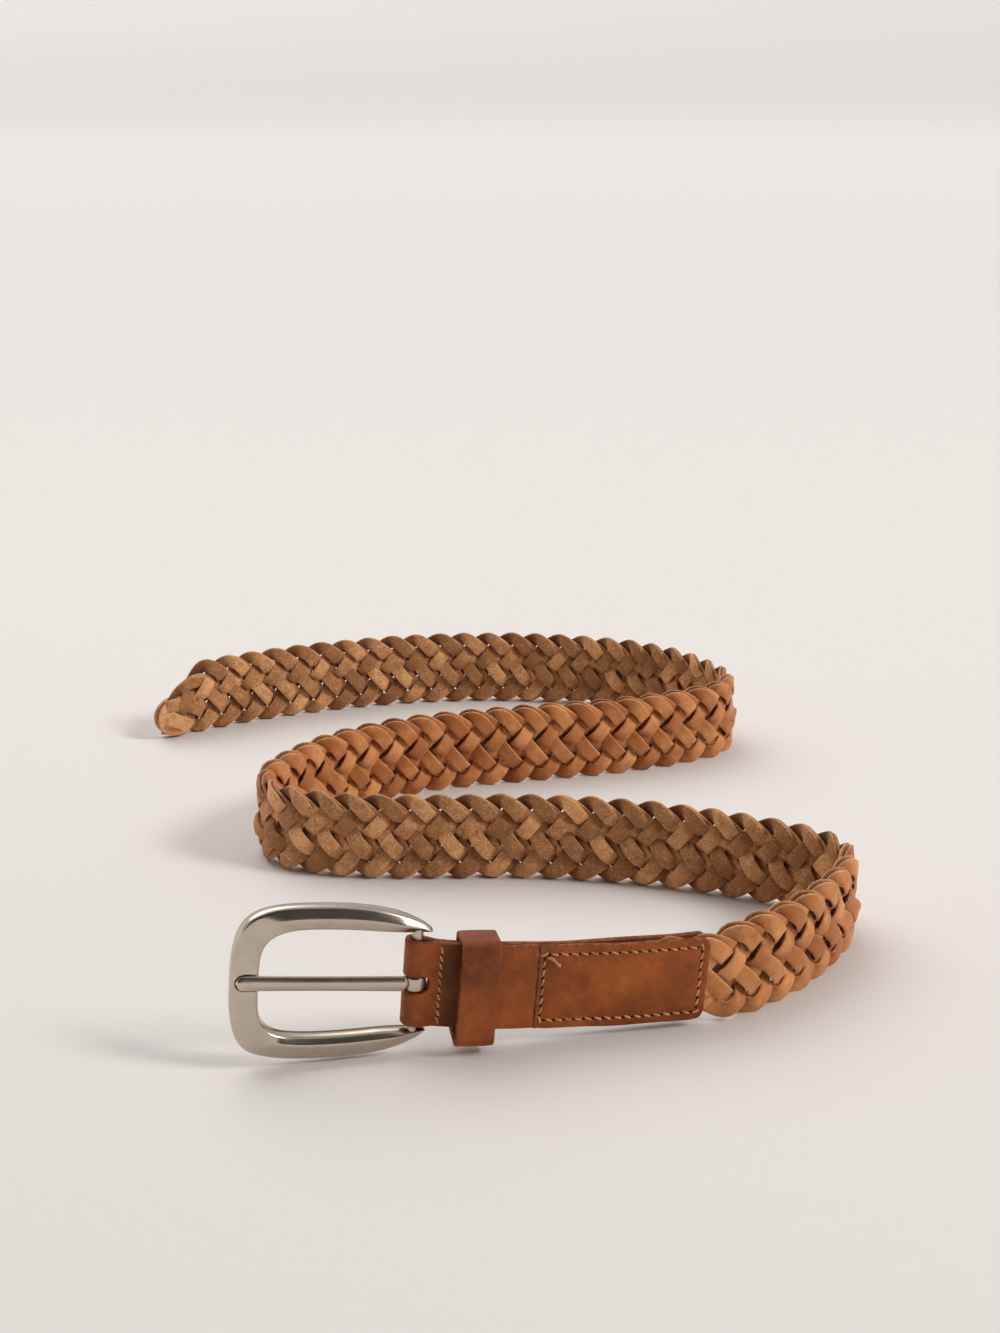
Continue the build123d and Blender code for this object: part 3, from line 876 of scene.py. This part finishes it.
    def _tip(self) -> None:
        """Closes the tip: laces turned round the end in its plane and a slanting one on each face."""
        end = self.route.length
        section = ring_section(self.lace_width + 0.5, self.lace_thickness, 0.42, 2, 0.16)
        lines: list[tuple[str, list[tuple[float, float, float]]]] = []
        for side in (1, -1):
            turn = [radians(-112 + 224 * k / 40) for k in range(41)]
            lines.append(("turn", [(end - 3.6 + 4.9 * cos(a), side * (1.55 + 0.25 * cos(3 * a)),
                                    4.9 * sin(a)) for a in turn]))
            ease = [k / 24 for k in range(25)]
            lines.append(("core", [(end - 9.0 + 9.6 * k, side * 0.7, 1.2 * k) for k in ease]))
            lines.append(("ribbon", [(end + 1.8 - 11.0 * k,
                                      side * (0.9 + 2.1 * sin(pi * k) ** 0.6),
                                      1.9 - 6.6 * k) for k in ease]))
        low = self.route.centre(end)
        for number, (kind, line) in enumerate(lines):
            places = []
            for u, w, v in line:
                place = self.route.point(u, w, 0.0)
                place.z = low + v + 0.25
                places.append(place)
            stations = []
            for k, place in enumerate(places):
                run_way = (places[min(k + 1, len(places) - 1)] - places[max(k - 1, 0)]).normalized()
                across = run_way.cross(self.route.normal(line[k][0])).normalized()
                stations.append(Station(place, across, across.cross(run_way).normalized()))
            made = sweep(f"tip_{kind}_{number + 1}", stations, section)
            self._mark_section(made, len(stations), section)
            hand_over(made, "strap", Finish.LACE, "tip_wrap")

    def _mark_section(self, obj: bpy.types.Object, count: int,
                      section: Sequence[tuple[float, float, float]]) -> None:
        """Stores where each point lies on the lace's section, as the woven laces have it."""
        points = count * len(section)
        store(obj.data, "section", self._shares(section) * count, "FLOAT_VECTOR")
        store(obj.data, "tone", [0.6] * points)
        # With depth 0.8 the lace finish's painted shade leaves the suede face clear and darkens the grain
        # face heavily.
        store(obj.data, "depth", [0.8] * points)


# ---- stitches -------------------------------------------------------------------------------------


@dataclass
class Seam:
    """A row of stitches along a path on the leather, with the holes between them."""

    name: str
    path: Sequence[Vector]
    out: Vector
    count: int
    closed: bool = False
    stitch_length: float = 2.0
    stitch_thick: float = 0.62
    slant: float = 0.32

    def build(self, node: str) -> None:
        """Makes the thread, and dark buttons of painted shade for its holes, in the place of the CAD line
        of thread.
        """
        thread = self._row(self._stitch(), f"{self.name}_stitches", Finish.THREAD, 0.0)
        hand_over(thread, "strap", Finish.THREAD, node)
        holes = self._row(self._hole(), f"{self.name}_holes", Finish.HOLE, 0.5)
        hand_over(holes, "strap", Finish.HOLE)

    def _stitch(self) -> bpy.types.Object:
        """One stitch: a thread that rises from a hole, lies over the leather and dips again."""
        stations = []
        for k in range(9):
            t = k / 8 - 0.5
            x, z = self.stitch_length * t, 0.16 - 1.7 * t * t * 0.9
            slope = Vector((1.0, 0.0, -3.06 * t)).normalized()
            turn = Matrix.Rotation(self.slant, 3, "Z")
            across = turn @ Vector((0.0, 1.0, 0.0))
            stations.append(Station(turn @ Vector((x, 0.0, z)), across,
                                    (turn @ slope).cross(across) * -1))
        radius = self.stitch_thick / 2
        section = [(radius * cos(turn), radius * sin(turn), 0.0) for turn in around(8)]
        return sweep("stitch", stations, section)

    def _hole(self) -> bpy.types.Object:
        """One hole mouth: a shallow dark button set into the leather, painted shade for the hole."""
        mesh = bpy.data.meshes.new("hole")
        work = bmesh.new()
        bmesh.ops.create_uvsphere(work, u_segments=10, v_segments=6, radius=0.5 * MM)
        bmesh.ops.scale(work, vec=(1.05, 0.72, 0.32), verts=work.verts)
        work.to_mesh(mesh)
        work.free()
        return finish_mesh("hole", mesh)

    def _row(self, part: bpy.types.Object, name: str, finish: Finish, shift: float) -> bpy.types.Object:
        """Sets a part along the path with a Geometry Nodes tree and bakes the result."""
        count = len(self.path)
        links = [(k, k + 1) for k in range(count - 1)] + ([(count - 1, 0)] if self.closed else [])
        carrier = link("carrier", new_mesh("seam_path", [p * MM for p in self.path], links))
        modifier = carrier.modifiers.new("row", "NODES")
        modifier.node_group = self._row_tree()
        set_inputs(modifier, {"Part": part, "Finish": finish.material(), "Count": self.count,
                              "Shift": shift, "Outward": tuple(self.out), "Wobble": 0.10, "Seed": 5})
        made = baked(carrier, name)
        bpy.data.objects.remove(part)
        made.data.shade_smooth()
        return made

    def _row_tree(self) -> bpy.types.NodeTree:
        """Geometry tree that repeats a part along a path."""
        known = bpy.data.node_groups.get(f"row_of_parts_{self.closed}")
        if known:
            return known
        t, given = geometry_tree(f"row_of_parts_{self.closed}", {
            "Path": "Geometry", "Part": "Object", "Finish": "Material", "Count": "Int",
            "Shift": "Float", "Outward": "Vector", "Wobble": "Float", "Seed": "Int"})
        line = t.out("GeometryNodeMeshToCurve", Mesh=given["Path"])
        index = Num(t, t.out("GeometryNodeInputIndex"))
        count = Num(t, given["Count"])
        last = count if self.closed else count - 1
        at = t.math("MINIMUM", (index + Num(t, given["Shift"])) / last, 1.0)
        points = t.out("GeometryNodePoints", Count=given["Count"])
        sample = t.node("GeometryNodeSampleCurve", {"mode": "FACTOR", "use_all_curves": True},
                        Curves=line, Factor=at)
        place = {s.name: s for s in sample.outputs}
        align = "FunctionNodeAlignRotationToVector"
        first = t.out(align, {"axis": "X"}, Vector=place["Tangent"])
        turned = t.out(align, {"axis": "Z", "pivot_axis": "X"}, Rotation=first,
                       Vector=given["Outward"])
        wobble = t.node("FunctionNodeRandomValue", {"data_type": "FLOAT"}, i2=-1.0, i3=1.0,
                        Seed=given["Seed"])
        spin = t.out("ShaderNodeCombineXYZ", Z=Num(t, wobble.outputs[1]) * Num(t, given["Wobble"]))
        spin = t.out("FunctionNodeEulerToRotation", Euler=spin)
        turned = t.out("FunctionNodeRotateRotation", {"rotation_space": "LOCAL"}, i0=turned, i1=spin)
        points = t.out("GeometryNodeSetPosition", Geometry=points, Position=place["Position"])
        part = t.node("GeometryNodeObjectInfo", Object=given["Part"]).outputs["Geometry"]
        rows = t.out("GeometryNodeInstanceOnPoints", Points=points, Instance=part, Rotation=turned)
        t.close(rows, given["Finish"])
        return t.group


# ---- tab ------------------------------------------------------------------------------------------


@dataclass
class Tab:
    """Leather strip folded round the bar, the front patch over the braid's end, and their seams."""

    place: TabPlace
    width: float = 25.4
    ply: float = 1.8
    end: float = 84.0
    patch_start: float = 34.5
    flare_end: float = 66.0
    half_braid: float = 0.95
    corner: float = 2.5
    bar_radius: float = 1.66
    closed_at: float = 6.0
    seam_a: float = 6.7
    seam_half: float = 10.5
    slot_height: float = 5.4
    slot_end: float = 4.0
    slot_rise: float = 0.9
    box_left: float = 36.1
    box_right: float = 81.8
    box_half: float = 10.1

    def build(self) -> None:
        """Makes the strip, the patch, the seams and the loose end of thread."""
        self._strip()
        self._patch()
        self._seams()
        self._thread_tail()

    def _inner(self, a: float) -> float:
        """Distance from the middle plane to the inside of a leg at a."""
        if a < self.closed_at:
            t = smooth_step(a / self.closed_at)
            return self.bar_radius * (1 - t) + 0.05 * t
        if a < self.patch_start:
            return 0.05
        return 0.05 + (self.half_braid - 0.05) * min(
            (a - self.patch_start) / (self.flare_end - self.patch_start), 1.0)

    def _narrowing(self, a: float) -> float:
        """Share of the width that is left near the rounded corners at the end."""
        into = a - (self.end - self.corner)
        if into <= 0:
            return 1.0
        cut = self.corner - sqrt(max(self.corner ** 2 - into ** 2, 0.0))
        return 1.0 - cut / (self.width / 2)

    def _strip(self) -> None:
        """The folded strip: front leg, fold and the long back leg."""
        middle: list[tuple[float, float]] = []
        front_end = self.patch_start - 0.1
        count = 44
        for k in range(count):
            a = front_end * (1 - k / count)
            middle.append((a, self._inner(a) + self.ply / 2))
        radius = self.bar_radius + self.ply / 2
        for k in range(25):
            turn = pi / 2 + pi * k / 24
            middle.append((radius * cos(turn), radius * sin(turn)))
        count = 96
        for k in range(1, count + 1):
            a = self.end * k / count
            middle.append((a, -self._inner(a) - self.ply / 2))
        stations = []
        for k, (a, n) in enumerate(middle):
            a0, n0 = middle[max(k - 1, 0)]
            a1, n1 = middle[min(k + 1, len(middle) - 1)]
            run = Vector((a1 - a0, n1 - n0)).normalized()
            through = self.place.along * run.y - self.place.out * run.x
            on_back = k > 60
            width = self._narrowing(a) if on_back else 1.0
            last = 1.0 if k in (0, len(middle) - 1) else 0.0
            wave = 0.12 * sin(a * 0.21 + (2 if on_back else 0))
            stations.append(Station(self.place.leather(a, wave, n), self.place.up, -through, width, last))
        section = ring_section(self.width, self.ply, 0.55, 3)
        strip = sweep("tab_strip", stations, section,
                      relief=lambda k, x, y: 0.05 * noise.noise(Vector((k * 0.11, x * 0.12, 0.0))))
        strip = cut_away(strip, self._slot_cutter(), "tab_strip_leather")
        self._mark_painted_shade_and_tone(strip)
        hand_over(strip, "strap", Finish.TAB, "tab_strap")

    def _slot_cutter(self) -> bpy.types.Object:
        """Long oval prism that opens the slot for the prong through both legs."""
        radius = self.slot_height / 2
        outline = []
        for k in range(17):
            turn = -pi / 2 + pi * k / 16
            outline.append((self.slot_end - radius + radius * cos(turn), radius * sin(turn)))
        outline += [(-12.0, radius), (-12.0, -radius)]
        points = [self.place.at(a, b + self.slot_rise, n) * MM for n in (-9.0, 9.0)
                  for a, b in outline]
        m = len(outline)
        faces = [tuple(range(m)), tuple(range(2 * m - 1, m - 1, -1))]
        faces += [(k, (k + 1) % m, (k + 1) % m + m, k + m) for k in range(m)]
        return finish_mesh("slot_cutter", new_mesh("slot_cutter", points, faces=faces))

    def _mark_painted_shade_and_tone(self, obj: bpy.types.Object) -> None:
        """Adds the mask of painted shade and tone: 1 in the painted shade of the recess between the bar
        seam and the keeper on the front, and a flat darker tone of 0.3 on the back.
        """
        rub = []
        for vertex in obj.data.vertices:
            reach = vertex.co / MM - self.place.bar
            a, n = reach.dot(self.place.along), reach.dot(self.place.out)
            rub.append((exp(-((a - 9.6) / 2.9) ** 4) if n > 0 else 0.3))
        store(obj.data, "rub", rub)

    def _patch_top(self, a: float) -> float:
        """Height of the patch's outer face above the middle plane."""
        return self._inner(a) + 0.1 + self.ply

    def _patch(self) -> None:
        """The front patch, pulled down a little along its box of stitches."""
        count = 72
        places = [self.patch_start + (self.end - self.patch_start) * k / count
                  for k in range(count + 1)]
        stations = []
        for k, a in enumerate(places):
            last = 1.0 if k in (0, count) else 0.0
            n = self._inner(a) + 0.1 + self.ply / 2
            stations.append(Station(self.place.leather(a, 0.1 * sin(a * 0.3), n), self.place.up,
                                    self.place.out, self._narrowing(a), last))
        section = ring_section(self.width, self.ply, 0.6, 3)

        def relief(number: int, x: float, y: float) -> float:
            """Seam groove and a soft crown inside the box of stitches."""
            if y < 0:
                return 0.0
            a = places[number]
            sides = (self.box_half - abs(x), a - self.box_left, self.box_right - a)
            to_side, inside = min(abs(side) for side in sides), min(sides)
            groove = -0.30 * exp(-(to_side / 0.75) ** 2)
            crown = 0.30 * smooth_step(inside / 5.0) if inside > 0 else 0.0
            return groove + crown + 0.08 * noise.noise(Vector((a * 0.12, x * 0.15, 3.0)))

        patch = sweep("front_patch_leather", stations, section, relief=relief)
        self._mark_painted_shade_and_tone(patch)
        hand_over(patch, "strap", Finish.TAB, "front_patch")

    def _seams(self) -> None:
        """The straight seam behind the bar and the box of stitches on the patch."""
        top = 0.05 + self.ply + 0.02
        path = [self.place.leather(self.seam_a, b, top) for b in (self.seam_half, -self.seam_half)]
        Seam("bar_seam", path, self.place.out, 10, slant=0.25).build("bar_seam_thread")
        left, right, half = self.box_left, self.box_right, self.box_half
        box: list[Vector] = []
        corners = [(left, half), (right, half), (right, -half), (left, -half)]
        for (a0, b0), (a1, b1) in zip(corners, corners[1:] + corners[:1]):
            steps = max(2, int(hypot(a1 - a0, b1 - b0) / 0.8))
            for k in range(steps):
                a, b = a0 + (a1 - a0) * k / steps, b0 + (b1 - b0) * k / steps
                box.append(self.place.leather(a, b, self._patch_top(a) - 0.22))
        Seam("patch_seam", box, self.place.out, 46, closed=True, slant=-0.35).build(
            "patch_seam_thread")

    def _thread_tail(self) -> None:
        """A short frayed end of thread near the box's first corner."""
        stations = []
        for k in range(9):
            t = k / 8
            a, b = 36.9 + 3.8 * t, 9.2 - 1.9 * t + 0.5 * sin(t * 5)
            n = self._patch_top(a) + 0.25 + 0.7 * sin(t * pi) * 0.8
            stations.append(Station(self.place.leather(a, b, n), self.place.up, self.place.out,
                                    1.0 + 0.5 * t))
        section = [(0.42 * cos(turn), 0.34 * sin(turn), 0.0) for turn in around(8)]
        tail = sweep("loose_thread", stations, section)
        hand_over(tail, "strap", Finish.THREAD, "thread_tail")


# ---- keeper ---------------------------------------------------------------------------------------


@dataclass
class Keeper:
    """Loose leather band that hangs on the tab, butted and stapled at the back."""

    place: TabPlace
    middle: float = 16.9
    width: float = 11.0
    ply: float = 1.7
    corners: tuple[tuple[float, float, float], ...] = (
        (6.6, 14.9, 2.4), (-4.1, 14.9, 2.2), (-4.1, -15.2, 2.4), (8.1, -17.3, 3.2))

    @staticmethod
    def _loop(corners: Sequence[tuple[float, float, float]]) -> list[tuple[float, ...]]:
        """Closed line round rounded corners.

        Args:
            corners: (n, b, radius) of each corner, anticlockwise.

        Returns:
            (n, b, outward n, outward b) of close points along the line.
        """
        count = len(corners)
        bends: list[tuple[float, ...]] = []
        for k, (n, b, radius) in enumerate(corners):
            here = Vector((n, b))
            back = (Vector(corners[k - 1][:2]) - here).normalized()
            ahead = (Vector(corners[(k + 1) % count][:2]) - here).normalized()
            half = back.angle(ahead) / 2
            centre = here + (back + ahead).normalized() * (radius / sin(half))
            first = here + back * (radius / sin(half) * cos(half)) - centre
            last = here + ahead * (radius / sin(half) * cos(half)) - centre
            for s in range(9):
                way = (first * (1 - s / 8) + last * (s / 8)).normalized()
                bends.append((centre.x + way.x * radius, centre.y + way.y * radius, way.x, way.y))
        line: list[tuple[float, ...]] = []
        for here, ahead in zip(bends, bends[1:] + bends[:1]):
            steps = max(1, int(hypot(ahead[0] - here[0], ahead[1] - here[1]) / 0.9))
            for s in range(steps):
                t = s / steps
                line.append(tuple(a + (c - a) * t for a, c in zip(here, ahead)))
        return line

    def build(self) -> None:
        """Makes the band; the staple keeps its CAD shape."""
        stations = []
        for n, b, x, y in self._loop(self.corners):
            through = (self.place.out * x + self.place.up * y).normalized()
            middle = self.place.at(self.middle + 0.2 * sin(b * 0.12), b - y * self.ply / 2,
                                   n - x * self.ply / 2)
            stations.append(Station(middle, self.place.along, through))
        section = ring_section(self.width, self.ply, 0.5, 3, 0.1)
        band = sweep("keeper_leather", stations, section, closed=True,
                     relief=lambda k, x, y: 0.05 * noise.noise(Vector((k * 0.2, x * 0.2, 9.0))))
        # A flat, slightly darker tone over the whole band, through the mask that carries the tab's
        # painted shade.
        store(band.data, "rub", [0.15] * len(band.data.vertices))
        hand_over(band, "keeper", Finish.TAB, "keeper_band")


# ---- buckle ---------------------------------------------------------------------------------------


@dataclass
class Buckle:
    """Heel-bar buckle: a C-shaped frame with ridged arms, the bar across it and the prong."""

    place: TabPlace
    rise: float = 1.4
    half_thick: float = 2.4
    prong_rise: float = 0.9
    prong_slant: float = 0.035
    outline: tuple[Point2, ...] = (
        (3.9, 15.4), (1.0, 17.5), (-4, 19.7), (-9, 21.2), (-14, 22.1), (-20, 22.7), (-27, 22.9),
        (-34, 22.8), (-39.5, 22.2), (-43.5, 21.1), (-46.4, 19.4), (-48.6, 16.6), (-50.0, 13),
        (-50.8, 8.5), (-51.1, 4), (-51.1, 0))
    window: tuple[Point2, ...] = (
        (3.4, 14.6), (-3, 14.6), (-9, 14.8), (-14, 15.2), (-20, 15.6), (-27, 15.8), (-33, 15.6),
        (-37, 15), (-40, 13.6), (-42, 11.2), (-43, 8), (-43.3, 4), (-43.3, 0))
    prong_tip: float = 49.8
    ring: float = 3.16
    bar_radius: float = 1.66

    def build(self) -> None:
        """Makes the frame and the prong; the bar and the keeper's staple keep their CAD shape."""
        self._frame()
        self._prong()
        for node in ("buckle_bar", "keeper_staple"):
            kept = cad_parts[node]
            kept.data.materials.clear()
            kept.data.materials.append(Finish.NICKEL.material())

    @staticmethod
    def _smooth(points: Sequence[Point2], count: int) -> list[Point2]:
        """Even points on a smooth curve through the given points and their mirror images."""
        whole = list(points) + [(a, -b) for a, b in reversed(points[:-1])]
        line: list[Point2] = []
        n = len(whole)
        for k in range(n - 1):
            p0, p1, p2, p3 = (whole[max(k - 1, 0)], whole[k], whole[k + 1], whole[min(k + 2, n - 1)])
            for s in range(16):
                t = s / 16
                line.append(tuple(
                    0.5 * (2 * p1[i] + (p2[i] - p0[i]) * t
                           + (2 * p0[i] - 5 * p1[i] + 4 * p2[i] - p3[i]) * t * t
                           + (3 * p1[i] - p0[i] - 3 * p2[i] + p3[i]) * t ** 3) for i in (0, 1)))
        line.append(whole[-1])
        lengths = [0.0]
        for (a0, b0), (a1, b1) in zip(line, line[1:]):
            lengths.append(lengths[-1] + hypot(a1 - a0, b1 - b0))
        even: list[Point2] = []
        j = 0
        for k in range(count):
            want = lengths[-1] * k / (count - 1)
            while j < len(lengths) - 2 and lengths[j + 1] < want:
                j += 1
            span = max(lengths[j + 1] - lengths[j], 1e-9)
            t = (want - lengths[j]) / span
            even.append((line[j][0] + (line[j + 1][0] - line[j][0]) * t,
                         line[j][1] + (line[j + 1][1] - line[j][1]) * t))
        return even

    def _profile(self, arm: float, tip: float, ridge: float) -> list[Point2]:
        """Section of the frame: (share from window to outside, height), counter-clockwise.

        Args:
            arm: 1 on an arm, where the face is a low roof, and 0 on the flat end rail.
            tip: 1 at the point of an arm, where the section closes to a small round.
            ridge: place of the roof's ridge between window and outside.

        Returns:
            The outline's points, front first.
        """
        top = self.half_thick
        front = []
        for k in range(21):
            s = k / 20
            rail = top * (1 - max(0.0, abs(s - 0.5) * 2 - 0.78) ** 2 * 7.0)
            span = 1 - ridge if s > ridge else ridge
            roof = top + 0.45 - 1.75 * max(0.0, abs(s - ridge) / span - 0.06) ** 1.08
            edge = max(0.0, abs(s - 0.5) * 2 - 0.86) / 0.14
            roof -= 0.75 * edge ** 2
            rail -= 0.35 * edge ** 2
            height = rail * (1 - arm) + roof * arm
            front.append((s, height * (1 - 0.45 * tip)))
        back = []
        for k in range(9):
            s = 1 - k / 8
            edge = max(0.0, abs(s - 0.5) * 2 - 0.75) / 0.25
            back.append((s, -(top - 0.7 * edge ** 2) * (1 - 0.45 * tip)))
        return front + back

    def _frame(self) -> None:
        """The frame, skinned between its window and its outline."""
        count = 161
        outer = self._smooth(self.outline, count)
        inner = self._smooth(self.window, count)
        points: list[Vector] = []
        for (a0, b0), (a1, b1) in zip(inner, outer):
            arm = smooth_step((a1 + 51.1 - 2.5) / 9.0)
            tip = smooth_step(((a0 + a1) / 2 + 5.0) / 8.5)
            profile = self._profile(arm, tip, 0.52 if b1 > 0 else 0.30)
            for s, n in profile:
                points.append(self.place.at(a0 + (a1 - a0) * s, b0 + (b1 - b0) * s + self.rise, n) * MM)
        name = "buckle_frame_metal"
        mesh = new_mesh(name, points, faces=tube_faces(count, len(points) // count))
        body = cut_away(finish_mesh(name, mesh), self._notch_cutter(), name)
        hand_over(body, "buckle", Finish.NICKEL, "buckle_frame")

    def _notch_cutter(self) -> bpy.types.Object:
        """Rounded pocket in the end rail that the tip of the prong rests in."""
        mesh = bpy.data.meshes.new("notch")
        work = bmesh.new()
        for a in (-47.5, -38.0):
            made = bmesh.ops.create_uvsphere(work, u_segments=24, v_segments=12, radius=2.75 * MM)
            for vertex in made["verts"]:
                vertex.co = vertex.co + self.place.at(a, self._prong_middle(a), 3.55) * MM
        hull = bmesh.ops.convex_hull(work, input=work.verts)
        bmesh.ops.delete(work, geom=[g for g in hull["geom_interior"]
                                     if isinstance(g, bmesh.types.BMVert)], context="VERTS")
        work.to_mesh(mesh)
        work.free()
        return finish_mesh("notch", mesh)

    def _prong_middle(self, a: float) -> float:
        """Height of the prong's middle line at a."""
        return self.prong_rise - a * self.prong_slant

    def _prong(self) -> None:
        """The prong: a ridged shaft whose root is an eye round the bar."""
        stations_at = [k / 48 for k in range(49)]
        points: list[Vector] = []
        sides = 20
        for t in stations_at:
            a = -2.4 - (self.prong_tip - 2.4) * t
            middle = 1.55 + 0.95 * t
            half_b = 2.1 + 0.06 * cos(t * 6)
            half_n = 1.05
            close = max(0.0, (t - 0.955) / 0.045)
            shrink = sqrt(max(1 - close ** 2, 0.0004))
            for turn in around(sides):
                c, s = cos(turn), sin(turn)
                b = half_b * powered(c, 0.8) * shrink
                n = half_n * powered(s, 0.75)
                if s > 0:
                    n = max(half_n * (1.15 - 0.85 * abs(c) ** 1.1), half_n * 0.30 * s)
                points.append(self.place.at(a, b + self._prong_middle(a),
                                            middle + n * (0.4 + 0.6 * shrink)) * MM)
        mesh = new_mesh("prong_shaft", points, faces=tube_faces(len(stations_at), sides))
        shaft = finish_mesh("prong_shaft_metal", mesh)
        hand_over(shaft, "prong", Finish.NICKEL, "prong")
        stations = []
        middle_radius = (self.ring + self.bar_radius) / 2
        for turn in around(48):
            through = self.place.along * cos(turn) + self.place.out * sin(turn)
            stations.append(Station(self.place.at(0.0, self.prong_rise) + through * middle_radius,
                                    self.place.up, through))
        thick = self.ring - self.bar_radius - 0.04
        section = [(2.2 * powered(cos(turn), 0.6), thick / 2 * powered(sin(turn), 0.7), 0.0)
                   for turn in around(20)]
        eye = sweep("prong_eye_metal", stations, section, closed=True)
        hand_over(eye, "prong", Finish.NICKEL, "prong")


# ---- studio ---------------------------------------------------------------------------------------


@dataclass
class Studio:
    """Pale seamless bowl, soft lights and the camera."""

    eye: tuple[float, float, float] = (0.0130, -0.6505, 0.272)
    pitch: float = 17.6
    lens: float = 72.0

    def build(self) -> None:
        """Sets everything up."""
        self._bowl()
        self._flag()
        self._sun("key_light", (0.74, -0.24, 0.62), 18.0, 1.55)
        self._sun("fill_light", (-0.42, 0.52, 0.86), 55.0, 1.2)
        world = bpy.data.worlds.new("studio_air")
        world.use_nodes = True
        sky = world.node_tree.nodes["Background"]
        sky.inputs[0].default_value = (0.86, 0.86, 0.86, 1.0)
        sky.inputs[1].default_value = 0.66
        bpy.context.scene.world = world
        camera = bpy.data.cameras.new("main_camera")
        camera.sensor_fit = "HORIZONTAL"
        camera.sensor_width = 36.0
        camera.lens = self.lens
        camera.clip_start = 0.01
        holder = link("main_camera", camera)
        holder.location = self.eye
        holder.rotation_euler = Euler((radians(90 - self.pitch), 0.0, 0.0))
        bpy.context.scene.camera = holder
        bpy.context.scene.view_settings.view_transform = "Standard"

    def _bowl(self) -> None:
        """Floor that curves up all round into a low wall."""
        flat, bend, top = 6.0, 1.6, 1.9
        line = [(0.0, 0.0)] + [(0.6 * k, 0.0) for k in range(1, 11)]
        for k in range(1, 13):
            turn = pi / 2 * k / 12
            line.append((flat + bend * sin(turn), bend - bend * cos(turn)))
        line.append((flat + bend, top))
        sides = 96
        points: list[tuple[float, float, float]] = [(0.0, 0.0, 0.0)]
        for radius, height in line[1:]:
            points += [(radius * cos(turn), radius * sin(turn), height) for turn in around(sides)]
        faces = [(0, 1 + k, 1 + (k + 1) % sides) for k in range(sides)]
        for ring in range(len(line) - 2):
            base = 1 + ring * sides
            for k in range(sides):
                l = (k + 1) % sides
                faces.append((base + k, base + sides + k, base + sides + l, base + l))
        mesh = new_mesh("studio_floor", points, faces=faces)
        mesh.shade_smooth()
        floor = link("studio_floor", mesh)
        floor.data.materials.append(PaleFloor().material())

    def _flag(self) -> None:
        """Dark cloth behind and above the camera, mirrored in the metal's upward faces."""
        half, low, high = 2.6, (-1.7, 0.42), (-1.2, 3.2)
        corners = [(-half, *low), (half, *low), (half, *high), (-half, *high)]
        flag = link("studio_flag", new_mesh("studio_flag", corners, faces=[(0, 1, 2, 3)]))
        flag.visible_camera = False
        paint = Paint("dark_cloth")
        rough = paint.speckle(200, 2, 0.5) * 0.1 + 0.85
        flag.data.materials.append(paint.finish(Base_Color=srgb(40, 36, 33), Roughness=rough))

    @staticmethod
    def _sun(name: str, towards: tuple[float, float, float], width: float, power: float) -> None:
        """A far soft light.

        Args:
            name: name of the light.
            towards: direction from the belt to the light.
            width: angle it covers, in degrees.
            power: its strength.
        """
        lamp = bpy.data.lights.new(name, "SUN")
        lamp.angle = radians(width)
        lamp.energy = power
        lamp.color = (1.0, 0.985, 0.97)
        holder = link(name, lamp)
        holder.location = Vector(towards) * 2
        holder.rotation_euler = (-Vector(towards)).to_track_quat("-Z", "Y").to_euler()


def main() -> None:
    """Builds the belt piece by piece, then the studio round it."""
    logging.basicConfig(level=logging.INFO, format="%(message)s")
    place = TabPlace()
    route = BeltRoute(place)
    for part in (Braid(route), Tab(place), Keeper(place), Buckle(place), Studio()):
        log.info("building %s", type(part).__name__)
        part.build()


if __name__ == "__main__":
    main()
